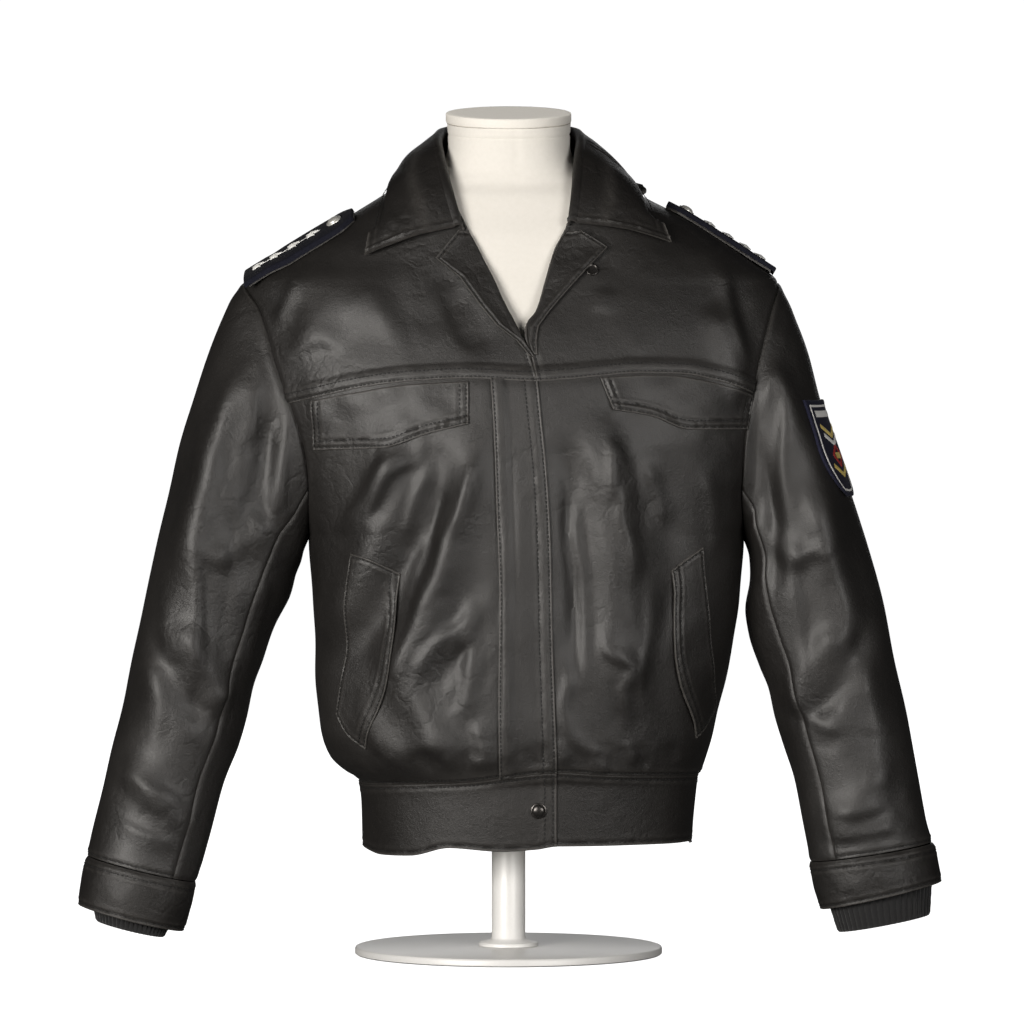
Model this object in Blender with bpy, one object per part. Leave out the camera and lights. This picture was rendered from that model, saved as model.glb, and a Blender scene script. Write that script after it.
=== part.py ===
"""A leather blouson, buttoned up to the chest, worn on a limbless dress form on a short stand.

The front faces -Y, +Z is up and +X is the wearer's left. Tables hold millimetres, and the
meshes are in metres. The origin is the middle of the base plate's underside.
"""

import math
from typing import NamedTuple

import bpy
import numpy as np
from mathutils import Vector
from mathutils.bvhtree import BVHTree

MM = 0.001

# Driving sizes, in millimetres.
LEATHER = 1.8
SEAM_GAP = 0.3
HIDE_PIECE = 2.0
COLLAR_CLOTH = 2.4
KNIT = 2.2
ROUNDNESS = 2.3
ARMPIT_Z = 425.0
SHOULDER_TIP_Z = 677.0
ARMHOLE_FRONT = 74.0
ARMHOLE_BACK = 84.0
NECKLINE_Z = 797.0
HEM_SEAM_Z = 178.0
BREAK_Z = 612.0
BACK_YOKE_Z = 598.0
BASE_RADIUS = 155.0
BASE_THICK = 8.0
POST_RADIUS = 17.0
FORM_BOTTOM_Z = 122.0
NECK_PLATE_Z = 838.0
NECK_PLATE_TILT = math.radians(7.0)
SNAP_RADIUS = 8.0
SNAP_AT = (30.0, 153.0)


class Body(NamedTuple):
    """One level section of the blouson's trunk: half widths, then depths."""

    z: float
    right: float
    left: float
    front: float
    back: float


TRUNK = (
    Body(z=100, right=146, left=184, front=119, back=124),
    Body(z=150, right=147, left=186, front=120, back=125),
    Body(z=177, right=151, left=189, front=122, back=127),
    Body(z=187, right=166, left=194, front=127, back=132),
    Body(z=200, right=179, left=199, front=132, back=137),
    Body(z=220, right=187, left=205, front=136, back=140),
    Body(z=245, right=191, left=210, front=138, back=142),
    Body(z=280, right=194, left=219, front=139, back=142),
    Body(z=320, right=195, left=227, front=140, back=141),
    Body(z=360, right=197, left=233, front=141, back=140),
    Body(z=425, right=201, left=237, front=143, back=138),
    Body(z=467, right=200, left=234, front=143, back=137),
    Body(z=513, right=205, left=236, front=142, back=136),
    Body(z=548, right=215, left=240, front=139, back=134),
    Body(z=573, right=225, left=245, front=136, back=131),
    Body(z=600, right=234, left=251, front=130, back=128),
    Body(z=625, right=241, left=258, front=123, back=124),
    Body(z=650, right=250, left=264, front=114, back=119),
    Body(z=677, right=265, left=270, front=104, back=111),
    Body(z=700, right=230, left=242, front=95, back=104),
    Body(z=720, right=198, left=211, front=88, back=98),
    Body(z=747, right=155, left=168, front=79, back=89),
    Body(z=764, right=126, left=134, front=73, back=83),
    Body(z=780, right=102, left=107, front=68, back=77),
    Body(z=800, right=82, left=85, front=63, back=70),
)


class Sleeve(NamedTuple):
    """One slanting section of a sleeve: its outer and inner points seen from the front."""

    outer_x: float
    outer_z: float
    inner_x: float
    inner_z: float
    front: float
    back: float
    middle_y: float


RIGHT_SLEEVE = (
    Sleeve(265, 677, 201, 425, ARMHOLE_FRONT, ARMHOLE_BACK, 0),
    Sleeve(279, 648, 206, 398, 76, 84, 0),
    Sleeve(297, 608, 214, 382, 77, 83, -1),
    Sleeve(315, 560, 222, 362, 77, 80, -2),
    Sleeve(330, 505, 236, 333, 75, 76, -4),
    Sleeve(346, 440, 248, 298, 71, 71, -7),
    Sleeve(359, 380, 258, 272, 67, 66, -11),
    Sleeve(371, 322, 265, 240, 62, 61, -16),
    Sleeve(383, 262, 273, 212, 57, 56, -21),
    Sleeve(398, 205, 288, 174, 52, 51, -27),
    Sleeve(411, 150, 302, 121, 47, 46, -33),
    Sleeve(421, 103, 315, 77, 44, 43, -38),
)
LEFT_SLEEVE = (
    Sleeve(270, 677, 237, 425, ARMHOLE_FRONT, ARMHOLE_BACK, 0),
    Sleeve(283, 640, 240, 394, 76, 84, 0),
    Sleeve(299, 598, 241, 370, 77, 83, -1),
    Sleeve(316, 545, 240, 350, 77, 80, -2),
    Sleeve(333, 496, 244, 322, 75, 76, -4),
    Sleeve(351, 440, 254, 292, 71, 71, -7),
    Sleeve(366, 388, 264, 268, 67, 66, -11),
    Sleeve(380, 330, 270, 240, 62, 61, -16),
    Sleeve(391, 276, 278, 210, 57, 56, -21),
    Sleeve(403, 220, 288, 178, 52, 51, -27),
    Sleeve(412, 165, 297, 136, 47, 46, -33),
    Sleeve(423, 116, 304, 97, 44, 43, -38),
)
RIGHT_CUFF = (
    Sleeve(422, 102, 315, 76, 46, 45, -38),
    Sleeve(426, 78, 322, 51, 46, 45, -39),
    Sleeve(430, 53, 329, 27, 45, 44, -40),
)
LEFT_CUFF = (
    Sleeve(425, 115, 304, 96, 46, 45, -38),
    Sleeve(429, 95, 309, 73, 46, 45, -39),
    Sleeve(432, 76, 315, 49, 45, 44, -40),
)
RIGHT_KNIT = (
    Sleeve(423, 78, 324.8, 54, 43.4, 42.4, -39),
    Sleeve(417, 64, 336, 44, 37, 36, -39),
    Sleeve(412, 37, 348, 21, 31, 30, -40),
)
LEFT_KNIT = (
    Sleeve(426, 94.3, 311.3, 73.2, 43.2, 42.2, -39),
    Sleeve(423, 78, 322, 58, 37, 36, -39),
    Sleeve(421, 43, 333, 26, 32, 31, -40),
)


class FormSection(NamedTuple):
    """One level section of the dress form."""

    z: float
    middle: float
    half: float
    front: float
    back: float


FORM = (
    FormSection(z=FORM_BOTTOM_Z, middle=10, half=126, front=92, back=98),
    FormSection(z=160, middle=10, half=131, front=97, back=104),
    FormSection(z=220, middle=10, half=134, front=101, back=107),
    FormSection(z=290, middle=10, half=138, front=107, back=111),
    FormSection(z=360, middle=10, half=147, front=115, back=116),
    FormSection(z=430, middle=10, half=158, front=122, back=119),
    FormSection(z=500, middle=10, half=167, front=124, back=119),
    FormSection(z=560, middle=9, half=175, front=120, back=116),
    FormSection(z=610, middle=8, half=181, front=112, back=112),
    FormSection(z=650, middle=8, half=185, front=102, back=107),
    FormSection(z=680, middle=7, half=186, front=94, back=101),
    FormSection(z=703, middle=7, half=183, front=88, back=97),
    FormSection(z=722, middle=6.5, half=176, front=83, back=93),
    FormSection(z=747, middle=6.5, half=154.5, front=73, back=85),
    FormSection(z=764, middle=4, half=124, front=66.5, back=79),
    FormSection(z=778, middle=2, half=94, front=59, back=71),
    FormSection(z=790, middle=1, half=73, front=57, back=65),
    FormSection(z=802, middle=0.5, half=64, front=57, back=62),
    FormSection(z=818, middle=0, half=61, front=58, back=61),
    FormSection(z=NECK_PLATE_Z, middle=0, half=62, front=60, back=62),
)


class Fold(NamedTuple):
    """One soft ridge or, with a height below nought, trough, seen from the front or back."""

    x: float
    z: float
    to_x: float
    to_z: float
    bend: float
    width: float
    height: float


FRONT_FOLDS = (
    Fold(-112, 515, -178, 330, 10, 20, 9),
    Fold(-68, 500, -150, 300, 8, 17, -8),
    Fold(-35, 520, -92, 300, 6, 18, 7),
    Fold(-120, 330, -60, 210, -6, 18, 6),
    Fold(60, 520, 70, 300, 6, 17, -7),
    Fold(95, 530, 110, 260, 8, 22, 8),
    Fold(150, 500, 165, 330, 6, 22, -5),
    Fold(-210, 620, -110, 640, 26, 26, 5),
    Fold(205, 650, 232, 560, 4, 15, 6),
    Fold(-70, 690, -20, 610, 6, 16, -4),
    Fold(-186, 300, -178, 215, 0, 20, 4),
)
BACK_FOLDS = (
    Fold(-120, 560, -80, 300, 12, 24, -7),
    Fold(-60, 540, -30, 260, 6, 22, 6),
    Fold(40, 545, 55, 270, 6, 24, -6),
    Fold(110, 560, 90, 300, -10, 24, 7),
    Fold(-180, 330, 0, 240, -20, 24, 5),
    Fold(20, 235, 190, 320, -20, 24, 5),
    Fold(-190, 620, -90, 640, 18, 24, 4),
    Fold(90, 640, 190, 615, 18, 24, 4),
)
SLEEVE_FOLDS = (
    Fold(250, 600, 320, 390, 14, 16, 7),
    Fold(226, 560, 268, 380, 6, 15, -7),
    Fold(300, 470, 352, 250, 6, 20, 6),
    Fold(330, 330, 285, 250, -6, 15, 5),
    Fold(352, 330, 300, 240, 10, 13, -5),
    Fold(245, 445, 300, 400, -10, 14, 5),
    Fold(380, 200, 320, 130, 4, 16, 4),
)


def smooth_column(keys, values, at):
    """A curve through rising keys that never swings past its values."""
    keys = np.asarray(keys, float)
    values = np.asarray(values, float)
    at = np.clip(np.asarray(at, float), keys[0], keys[-1])
    step = np.diff(keys)
    slope = np.diff(values) / step
    tangent = np.zeros(len(keys))
    same_way = slope[:-1] * slope[1:] > 0
    weight = slope[:-1] + slope[1:]
    tangent[1:-1][same_way] = (2 * slope[:-1] * slope[1:])[same_way] / weight[same_way]
    tangent[0], tangent[-1] = slope[0], slope[-1]
    i = np.clip(np.searchsorted(keys, at, side="right") - 1, 0, len(step) - 1)
    t = (at - keys[i]) / step[i]
    return (
        values[i] * (1 + 2 * t) * (1 - t) ** 2
        + values[i + 1] * t * t * (3 - 2 * t)
        + step[i] * (tangent[i] * t * (1 - t) ** 2 - tangent[i + 1] * t * t * (1 - t))
    )


def column(table, name, at):
    """A named column of a table of level sections, read at a height."""
    return smooth_column([row.z for row in table], [getattr(row, name) for row in table], at)


def soft_step(t):
    """Nought to one, with level ends."""
    t = np.clip(t, 0, 1)
    return t * t * (3 - 2 * t)


def fold_height(folds, x, z):
    """How far a table of folds lifts the cloth at a place seen from the front."""
    lift = np.zeros(np.broadcast(x, z).shape)
    for fold in folds:
        run = np.array([fold.to_x - fold.x, fold.to_z - fold.z])
        length = np.hypot(*run)
        along = ((x - fold.x) * run[0] + (z - fold.z) * run[1]) / length**2
        across = ((z - fold.z) * run[0] - (x - fold.x) * run[1]) / length
        across = across - fold.bend * 4 * along * (1 - along)
        ends = soft_step((along + 0.12) / 0.3) * soft_step((1.12 - along) / 0.3)
        lift = lift + fold.height * np.exp(-((across / fold.width) ** 2)) * ends
    return lift


def armhole_depth(z, deepest):
    """How far in front of or behind the shoulder line the armhole seam runs at a height."""
    half = (SHOULDER_TIP_Z - ARMPIT_Z) / 2
    share = (z - ARMPIT_Z - half) / half
    return deepest * np.sqrt(np.clip(1 - share**2, 0, 1))


def trunk_ring(z, is_front):
    """The trunk's centre, half width and depth at a height, on its front or its back."""
    right = column(TRUNK, "right", z)
    left = column(TRUNK, "left", z)
    depth = np.where(is_front, column(TRUNK, "front", z), column(TRUNK, "back", z))
    seam = np.where(is_front, armhole_depth(z, ARMHOLE_FRONT), armhole_depth(z, ARMHOLE_BACK))
    cut = (1 - (seam / depth) ** ROUNDNESS) ** (1 / ROUNDNESS)
    return (left - right) / 2, (left + right) / 2 / cut, depth


def angle_at(x, z, is_front=True):
    """The angle round the trunk of a place seen from the front: nought at the middle front."""
    middle, half, _ = trunk_ring(z, is_front)
    share = np.clip((x - middle) / half, -1, 1)
    angle = np.sign(share) * np.arcsin(np.abs(share) ** (ROUNDNESS / 2))
    return np.where(is_front, angle, np.where(angle < 0, -math.pi, math.pi) - angle)


def plain_trunk(angle, z):
    """The trunk with no folds."""
    angle, z = np.broadcast_arrays(np.asarray(angle, float), np.asarray(z, float))
    is_front = np.cos(angle) > 0
    middle, half, depth = trunk_ring(z, is_front)
    sine, cosine = np.sin(angle), np.cos(angle)
    x = middle + half * np.sign(sine) * np.abs(sine) ** (2 / ROUNDNESS)
    y = -depth * np.sign(cosine) * np.abs(cosine) ** (2 / ROUNDNESS)
    return np.stack([x, y, z], axis=-1)


def normals_of(surface, u, v, du, dv):
    """Outward unit normals of a surface, from its own slopes."""
    along_u = surface(u + du, v) - surface(u - du, v)
    along_v = surface(u, v + dv) - surface(u, v - dv)
    normal = np.cross(along_u, along_v)
    return normal / np.maximum(np.linalg.norm(normal, axis=-1, keepdims=True), 1e-9)


def trunk(angle, z):
    """The blouson's outer surface, with its folds."""
    point = plain_trunk(angle, z)
    normal = normals_of(plain_trunk, angle, z, 0.02, 2.0)
    x, height = point[..., 0], point[..., 2]
    front = fold_height(FRONT_FOLDS, x, height) * soft_step(np.cos(angle) / 0.35)
    back = fold_height(BACK_FOLDS, x, height) * soft_step(-np.cos(angle) / 0.35)
    calm = soft_step((height - HEM_SEAM_Z) / 22) * soft_step((770 - height) / 40)
    return point + normal * ((front + back) * calm)[..., None]


def trunk_normals(angle, z):
    """Outward normals of the folded trunk."""
    return normals_of(trunk, angle, z, 0.012, 1.5)


def armhole_x(z, side):
    """Where the armhole seam is, seen from the front: side is -1 for the wearer's right."""
    return side * column(TRUNK, "right" if side < 0 else "left", z)


def plain_sleeve(rows, side, turn, down):
    """A sleeve's surface: turn is nought outside and a quarter in front, down is from 0 to 1."""
    turn, down = np.broadcast_arrays(np.asarray(turn, float), np.asarray(down, float))
    keys = np.linspace(0, 1, len(rows))
    outer_x, outer_z, inner_x, inner_z, front, back, middle_y = (
        smooth_column(keys, [row[k] for row in rows], down) for k in range(7)
    )
    cosine, sine = np.cos(turn), np.sin(turn)
    x = (outer_x + inner_x) / 2 + (outer_x - inner_x) / 2 * cosine
    z = (outer_z + inner_z) / 2 + (outer_z - inner_z) / 2 * cosine
    y = middle_y - np.where(sine > 0, front, back) * sine
    return np.stack([side * x, y, z], axis=-1)


def bowed_sleeve(rows, side, turn, down):
    """The sleeve, drawn in to the armhole seam's own curve at its top."""
    point = plain_sleeve(rows, side, turn, down)
    top = plain_sleeve(rows, side, turn, np.zeros_like(down))
    bow = armhole_x(top[..., 2], side) - top[..., 0]
    fade = (1 - soft_step(np.asarray(down) / 0.3)) ** 1.5
    clear = 2.0 + 3.0 * soft_step(np.asarray(down) / 0.07) * (1 - soft_step((np.asarray(down) - 0.1) / 0.2))
    point[..., 0] = point[..., 0] + bow * fade + side * clear
    return point


def sleeve(rows, side, turn, down):
    """A sleeve's outer surface with its folds, which fade out at both ends."""

    def bare(t, d):
        return bowed_sleeve(rows, side, t, d)

    point = bare(turn, down)
    normal = normals_of(bare, turn, down, 0.02, 0.004) * -side
    calm = soft_step(np.asarray(down) / 0.1) * soft_step((1 - np.asarray(down)) / 0.07)
    lift = fold_height(SLEEVE_FOLDS, np.abs(point[..., 0]), point[..., 2])
    return point + normal * (lift * calm * soft_step(np.abs(np.sin(turn)) / 0.5))[..., None]


def new_material(name, colour, roughness, metallic=0.0):
    """A plain Principled material."""
    material = bpy.data.materials.get(name)
    if material:
        return material
    material = bpy.data.materials.new(name)
    material.use_nodes = True
    shader = material.node_tree.nodes["Principled BSDF"]
    shader.inputs["Base Color"].default_value = (*colour, 1.0)
    shader.inputs["Roughness"].default_value = roughness
    shader.inputs["Metallic"].default_value = metallic
    return material


def black_leather():
    return new_material("black_leather", (0.028, 0.026, 0.025), 0.42)


def black_knit():
    return new_material("black_knit", (0.012, 0.012, 0.013), 0.9)


def navy_cloth():
    return new_material("navy_cloth", (0.016, 0.017, 0.045), 0.85)


def patch_cloth():
    return new_material("patch_cloth", (0.03, 0.03, 0.07), 0.8)


def form_cloth():
    return new_material("form_cloth", (0.78, 0.74, 0.67), 0.75)


def silver_metal():
    return new_material("silver_metal", (0.72, 0.70, 0.66), 0.3, 1.0)


def gunmetal():
    return new_material("gunmetal", (0.11, 0.10, 0.095), 0.3, 1.0)


def stand_paint():
    return new_material("stand_paint", (0.80, 0.79, 0.76), 0.4)


def add_mesh(name, points, faces, material, smooth=True):
    """An object from points in millimetres."""
    mesh = bpy.data.meshes.new(name)
    mesh.from_pydata([tuple(p) for p in np.asarray(points) * MM], [], faces)
    mesh.validate()
    if smooth:
        mesh.shade_smooth()
        mesh.set_sharp_from_angle(angle=math.radians(50))
    mesh.materials.append(material)
    part = bpy.data.objects.new(name, mesh)
    bpy.context.scene.collection.objects.link(part)
    return part


def wall(name, outer, inner, material, is_ring=False):
    """A closed wall between two grids of points. is_ring joins the last column to the first."""
    rows, columns = outer.shape[:2]
    points = np.concatenate([outer.reshape(-1, 3), inner.reshape(-1, 3)])
    below = rows * columns
    faces = []

    def add(a, b, c, d):
        faces.append((a, b, c, d))

    last = columns if is_ring else columns - 1
    for j in range(last):
        k = (j + 1) % columns
        for i in range(rows - 1):
            a, b, c, d = i * columns + j, i * columns + k, (i + 1) * columns + k, (i + 1) * columns + j
            add(a, b, c, d)
            add(below + d, below + c, below + b, below + a)
        add(j, below + j, below + k, k)
        top = (rows - 1) * columns
        add(top + k, below + top + k, below + top + j, top + j)
    if not is_ring:
        for i in range(rows - 1):
            a, d = i * columns, (i + 1) * columns
            add(a, d, below + d, below + a)
            b, c = a + columns - 1, d + columns - 1
            add(b, below + b, below + c, c)
    part = add_mesh(name, points, faces, material)
    face_outwards(part)
    return part


def face_outwards(part):
    """Turns a closed mesh's faces out."""
    mesh = part.data
    mesh.calc_loop_triangles()
    corners = np.array([v.co for v in mesh.vertices])
    index = np.array([t.vertices for t in mesh.loop_triangles])
    a, b, c = corners[index[:, 0]], corners[index[:, 1]], corners[index[:, 2]]
    if np.einsum("ij,ij->i", a, np.cross(b, c)).sum() < 0:
        mesh.flip_normals()


def trunk_piece(name, outer_angle, inner_angle, low, high, columns, rows, lift=0.0, thick=LEATHER):
    """A panel of the trunk between two angles and two heights, each a function.

    outer_angle and inner_angle take a height, and low and high take an x.
    """
    u, v = np.meshgrid(np.linspace(0, 1, columns + 1), np.linspace(0, 1, rows + 1))
    z = np.full_like(u, (low(0.0) + high(0.0)) / 2)
    angle = u
    for _ in range(6):
        angle = outer_angle(z) * (1 - u) + inner_angle(z) * u
        x = plain_trunk(angle, z)[..., 0]
        z = low(x) * (1 - v) + high(x) * v
    point, normal = trunk(angle, z), trunk_normals(angle, z)
    outer = point + normal * lift
    return wall(name, outer, outer - normal * thick, black_leather())


def through(*places):
    """A smooth line through (x, z) places, as a function that gives the second from the first."""
    places = sorted(places)
    keys = [p[0] for p in places]
    values = [p[1] for p in places]
    return lambda at: smooth_column(keys, values, at)


# The seams, as seen from the front. Those by x give a height, and those by z give an x.
yoke_seam = through((-240, 552), (-193, 563), (-138, 575), (-98, 580), (-38, 583), (27, 580), (60, 582), (132, 588), (172, 587), (207, 580), (250, 564))
hem_seam = through((-155, 173), (-108, 177), (-38, 181), (0, 186), (46, 190), (120, 186), (192, 182))
hem_edge = through((-150, 111), (-128, 105), (-98, 106), (-58, 115), (-8, 112), (27, 114), (48, 117), (120, 117), (190, 116))
closure = through((100, 48), (190, 48), (260, 46), (320, 44), (420, 42), (490, 38), (540, 33), (580, 29), (615, 23))
fly_seam = through((178, -9), (260, -10), (360, -9), (460, -12), (540, -15), (584, -18))
right_front_edge = through((580, 29), (603, 22), (615, 18), (636, 6), (663, -8), (693, -21), (709, -30), (735, -42), (762, -56), (800, -76))
left_front_edge = through((580, 30), (603, 25), (617, 20), (627, 18), (638, 20), (650, 29), (679, 38), (709, 47), (735, 60), (762, 68), (800, 82))


def side_angle(side, is_front):
    """The angle of the trunk's side edge: side seam, then armhole, then shoulder seam."""
    gap = SEAM_GAP / 2 / 200

    def at(z):
        seam_x = armhole_x(z, side)
        seam = angle_at(seam_x, z, is_front)
        edge = np.where(np.abs(z - 551) < 126, seam, side * math.pi / 2)
        room = np.where(z < ARMPIT_Z, gap, 3.5 * gap)
        return edge + (-side if is_front else side) * room

    return at


def angle_on(line, offset=0.0):
    """The angle of a front seam that gives x from a height."""
    return lambda z: angle_at(line(z) + offset, z)


def shifted(line, offset):
    """A seam moved up or down."""
    return lambda x: line(x) + offset


def level(z):
    """A seam at one height."""
    return lambda x: np.zeros_like(np.asarray(x, float)) + z


def build_trunk():
    """Front panels, yokes, back and hem band."""
    half_gap = SEAM_GAP / 2
    over_hem = shifted(hem_seam, half_gap)
    under_yoke = shifted(yoke_seam, -half_gap)
    trunk_piece(
        "front_right", side_angle(-1, True), angle_on(fly_seam, -half_gap), over_hem, under_yoke, 13, 15
    )
    trunk_piece("fly_front", angle_on(fly_seam, half_gap), angle_on(closure), over_hem, under_yoke, 3, 15, 0.8)
    trunk_piece(
        "front_left", angle_on(closure, SEAM_GAP), side_angle(1, True), over_hem, under_yoke, 13, 15
    )
    over_yoke = shifted(yoke_seam, half_gap)
    top = level(NECKLINE_Z)
    trunk_piece("yoke_front_right", side_angle(-1, True), angle_on(right_front_edge), over_yoke, top, 12, 14)
    trunk_piece("yoke_front_left", angle_on(left_front_edge, SEAM_GAP), side_angle(1, True), over_yoke, top, 12, 14)
    back_hem = level(HEM_SEAM_Z + half_gap)
    trunk_piece(
        "back_panel",
        side_angle(1, False),
        lambda z: 2 * math.pi + side_angle(-1, False)(z),
        back_hem,
        level(BACK_YOKE_Z - half_gap),
        18,
        12,
    )
    trunk_piece(
        "yoke_back",
        side_angle(1, False),
        lambda z: 2 * math.pi + side_angle(-1, False)(z),
        level(BACK_YOKE_Z + half_gap),
        top,
        18,
        9,
    )
    under_hem = shifted(hem_seam, -half_gap)
    trunk_piece("hem_front_right", side_angle(-1, True), angle_on(closure), hem_edge, under_hem, 10, 3, 0.8)
    trunk_piece("hem_front_left", angle_on(closure, SEAM_GAP), side_angle(1, True), hem_edge, under_hem, 7, 3)
    trunk_piece(
        "hem_back",
        side_angle(1, False),
        lambda z: 2 * math.pi + side_angle(-1, False)(z),
        level(112.0),
        level(HEM_SEAM_Z - half_gap),
        18,
        3,
    )


def sleeve_piece(name, rows, side, turn_from, turn_to, columns, count, material, thick, down_from=0.0):
    """A piece of a sleeve, cuff or knit cuff, between two turns round it."""
    is_ring = abs(turn_to - turn_from - 2 * math.pi) < 1e-6
    is_sleeve = down_from > 0
    turns = np.linspace(turn_from, turn_to, columns + 1)
    if is_ring:
        turns = turns[:-1]
    turn, down = np.meshgrid(turns, np.linspace(down_from, 1, count + 1))
    if is_sleeve:
        down = down_from + (1 - down_from) * ((down - down_from) / (1 - down_from)) ** 1.15

    def surface(t, d):
        if is_sleeve:
            return sleeve(rows, side, t, d)
        return plain_sleeve(rows, side, t, d)

    inner = surface(turn, down)
    normal = normals_of(surface, turn, down, 0.02, 0.006) * side
    return wall(name, inner + normal * thick, inner, material, is_ring)


def build_sleeves():
    """Two-piece sleeves, their cuffs and the knit cuffs inside them."""
    front_seam, back_seam = math.radians(128), math.radians(-122)
    gap = SEAM_GAP / 2 / 55
    armhole_gap = 0.0022
    for side, word, rows, cuff, knit in (
        (-1, "right", RIGHT_SLEEVE, RIGHT_CUFF, RIGHT_KNIT),
        (1, "left", LEFT_SLEEVE, LEFT_CUFF, LEFT_KNIT),
    ):
        sleeve_piece(
            f"sleeve_top_{word}", rows, side, back_seam + gap, front_seam - gap, 14, 14, black_leather(), LEATHER, armhole_gap
        )
        sleeve_piece(
            f"sleeve_under_{word}",
            rows,
            side,
            front_seam + gap,
            back_seam + 2 * math.pi - gap,
            6,
            14,
            black_leather(),
            LEATHER,
            armhole_gap,
        )
        sleeve_piece(f"cuff_{word}", cuff, side, 0, 2 * math.pi, 22, 2, black_leather(), HIDE_PIECE)
        sleeve_piece(f"knit_cuff_{word}", knit, side, 0, 2 * math.pi, 22, 4, black_knit(), KNIT)


class CollarLine(NamedTuple):
    """A point of the collar, from the middle back (0) to its front end (1)."""

    along: float
    foot_x: float
    foot_y: float
    foot_z: float
    roll_x: float
    roll_y: float
    roll_z: float
    edge_x: float
    edge_z: float


RIGHT_COLLAR = (
    CollarLine(0.00, 0, 69, 798.3, 0, 77, 832, 0, 764),
    CollarLine(0.20, 41, 62, 798.3, 39, 68, 831, 66, 762),
    CollarLine(0.40, 73, 31, 798.3, 65, 31, 826, 112, 761),
    CollarLine(0.55, 79, 0, 798.3, 68, 0, 817, 124, 762),
    CollarLine(0.70, 74, -31, 798.3, 65, -37, 801, 130, 750),
    CollarLine(0.85, 62, -67, 772, 56, -73, 765, 136, 726),
    CollarLine(1.00, 51, -82, 738, 46, -87, 730, 141, 701),
)
LEFT_COLLAR = (
    CollarLine(0.00, 0, 69, 798.3, 0, 77, 832, 0, 764),
    CollarLine(0.20, 41, 62, 798.3, 39, 68, 831, 68, 762),
    CollarLine(0.40, 74, 31, 798.3, 66, 31, 826, 116, 762),
    CollarLine(0.55, 81, 0, 798.3, 69, 0, 817, 131, 764),
    CollarLine(0.70, 77, -31, 798.3, 67, -37, 801, 142, 755),
    CollarLine(0.85, 68, -65, 772, 64, -71, 765, 151, 735),
    CollarLine(1.00, 63, -81, 742, 60, -86, 734, 160, 714),
)
COLLAR_LIFT = 2.6
COLLAR_BULGE = 6.0
ROLL_RADIUS = 4.0


def collar_line(share):
    """The collar's foot, roll line and leaf edge: share runs from -1, the right end, to 1."""
    along = np.abs(share)
    keys = [row.along for row in RIGHT_COLLAR]
    found = {}
    for name in CollarLine._fields[1:]:
        right = smooth_column(keys, [getattr(row, name) for row in RIGHT_COLLAR], along)
        left = smooth_column(keys, [getattr(row, name) for row in LEFT_COLLAR], along)
        found[name] = np.where(share < 0, right, left)
    side = np.sign(share)
    foot = np.stack([side * found["foot_x"], found["foot_y"], found["foot_z"]], axis=-1)
    roll = np.stack([side * found["roll_x"], found["roll_y"], found["roll_z"]], axis=-1)
    return foot, roll, side * found["edge_x"], found["edge_z"]


def collar_grid(columns):
    """The collar's visible surface, from the neckline over the roll to the leaf's edge."""
    share = np.linspace(-1, 1, columns + 1)
    foot, roll, edge_x, edge_z = collar_line(share)
    blend = soft_step((np.abs(share) - 0.42) / 0.16)
    front_angle = angle_at(edge_x, edge_z, True)
    back_angle = angle_at(edge_x, edge_z, False)
    angle = back_angle * (1 - blend) + front_angle * blend
    edge = trunk(angle, edge_z) + trunk_normals(angle, edge_z) * (COLLAR_LIFT + COLLAR_CLOTH)
    away = edge - roll
    away[:, 2] = 0
    away = away / np.linalg.norm(away, axis=-1, keepdims=True)
    up = np.array([0.0, 0.0, 1.0])
    lines = [foot, foot * 0.5 + roll * 0.5, roll]
    for turn in (50, 100, 150):
        at = math.radians(turn)
        lines.append(roll + away * ROLL_RADIUS * (1 - math.cos(at)) + up * ROLL_RADIUS * math.sin(at))
    start = lines[-1]
    chord = edge - start
    sideways = np.cross(np.gradient(edge, axis=0), chord)
    sideways = sideways / np.linalg.norm(sideways, axis=-1, keepdims=True)
    sideways = sideways * np.sign(sideways[:, 2:3] + 1e-9)
    for t in (0.2, 0.4, 0.6, 0.8, 1.0):
        lines.append(start + chord * t + sideways * COLLAR_BULGE * 4 * t * (1 - t))
    return np.stack(lines)


def grid_normals(grid):
    """Normals of a grid of points, from its neighbours."""
    down = np.gradient(grid, axis=0)
    across = np.gradient(grid, axis=1)
    normal = np.cross(across, down)
    return normal / np.maximum(np.linalg.norm(normal, axis=-1, keepdims=True), 1e-9)


def build_collar():
    """The turned-down collar, stand and leaf in one."""
    grid = collar_grid(28)
    normal = grid_normals(grid)
    if normal[-2, 14, 2] < 0:
        normal = -normal
    wall("collar", grid, grid - normal * COLLAR_CLOTH, black_leather())


class LapelRow(NamedTuple):
    """One level of a turned-back front edge: its outer edge and its fold."""

    z: float
    outer: float
    fold: float


RIGHT_LAPEL = (
    LapelRow(604, 21.5, 24.5),
    LapelRow(620, 8, 15.5),
    LapelRow(635, -12, 7),
    LapelRow(657, -30, -4.5),
    LapelRow(683, -49, -17),
    LapelRow(700, -72, -26),
    LapelRow(714, -61, -33),
    LapelRow(728, -49, -41),
)
LEFT_LAPEL = (
    LapelRow(606, 29, 27),
    LapelRow(620, 28, 21),
    LapelRow(634, 30, 20.5),
    LapelRow(650, 42, 30),
    LapelRow(668, 58, 36),
    LapelRow(693, 81, 43.5),
    LapelRow(711, 98, 50),
    LapelRow(727, 72, 59),
)


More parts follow.
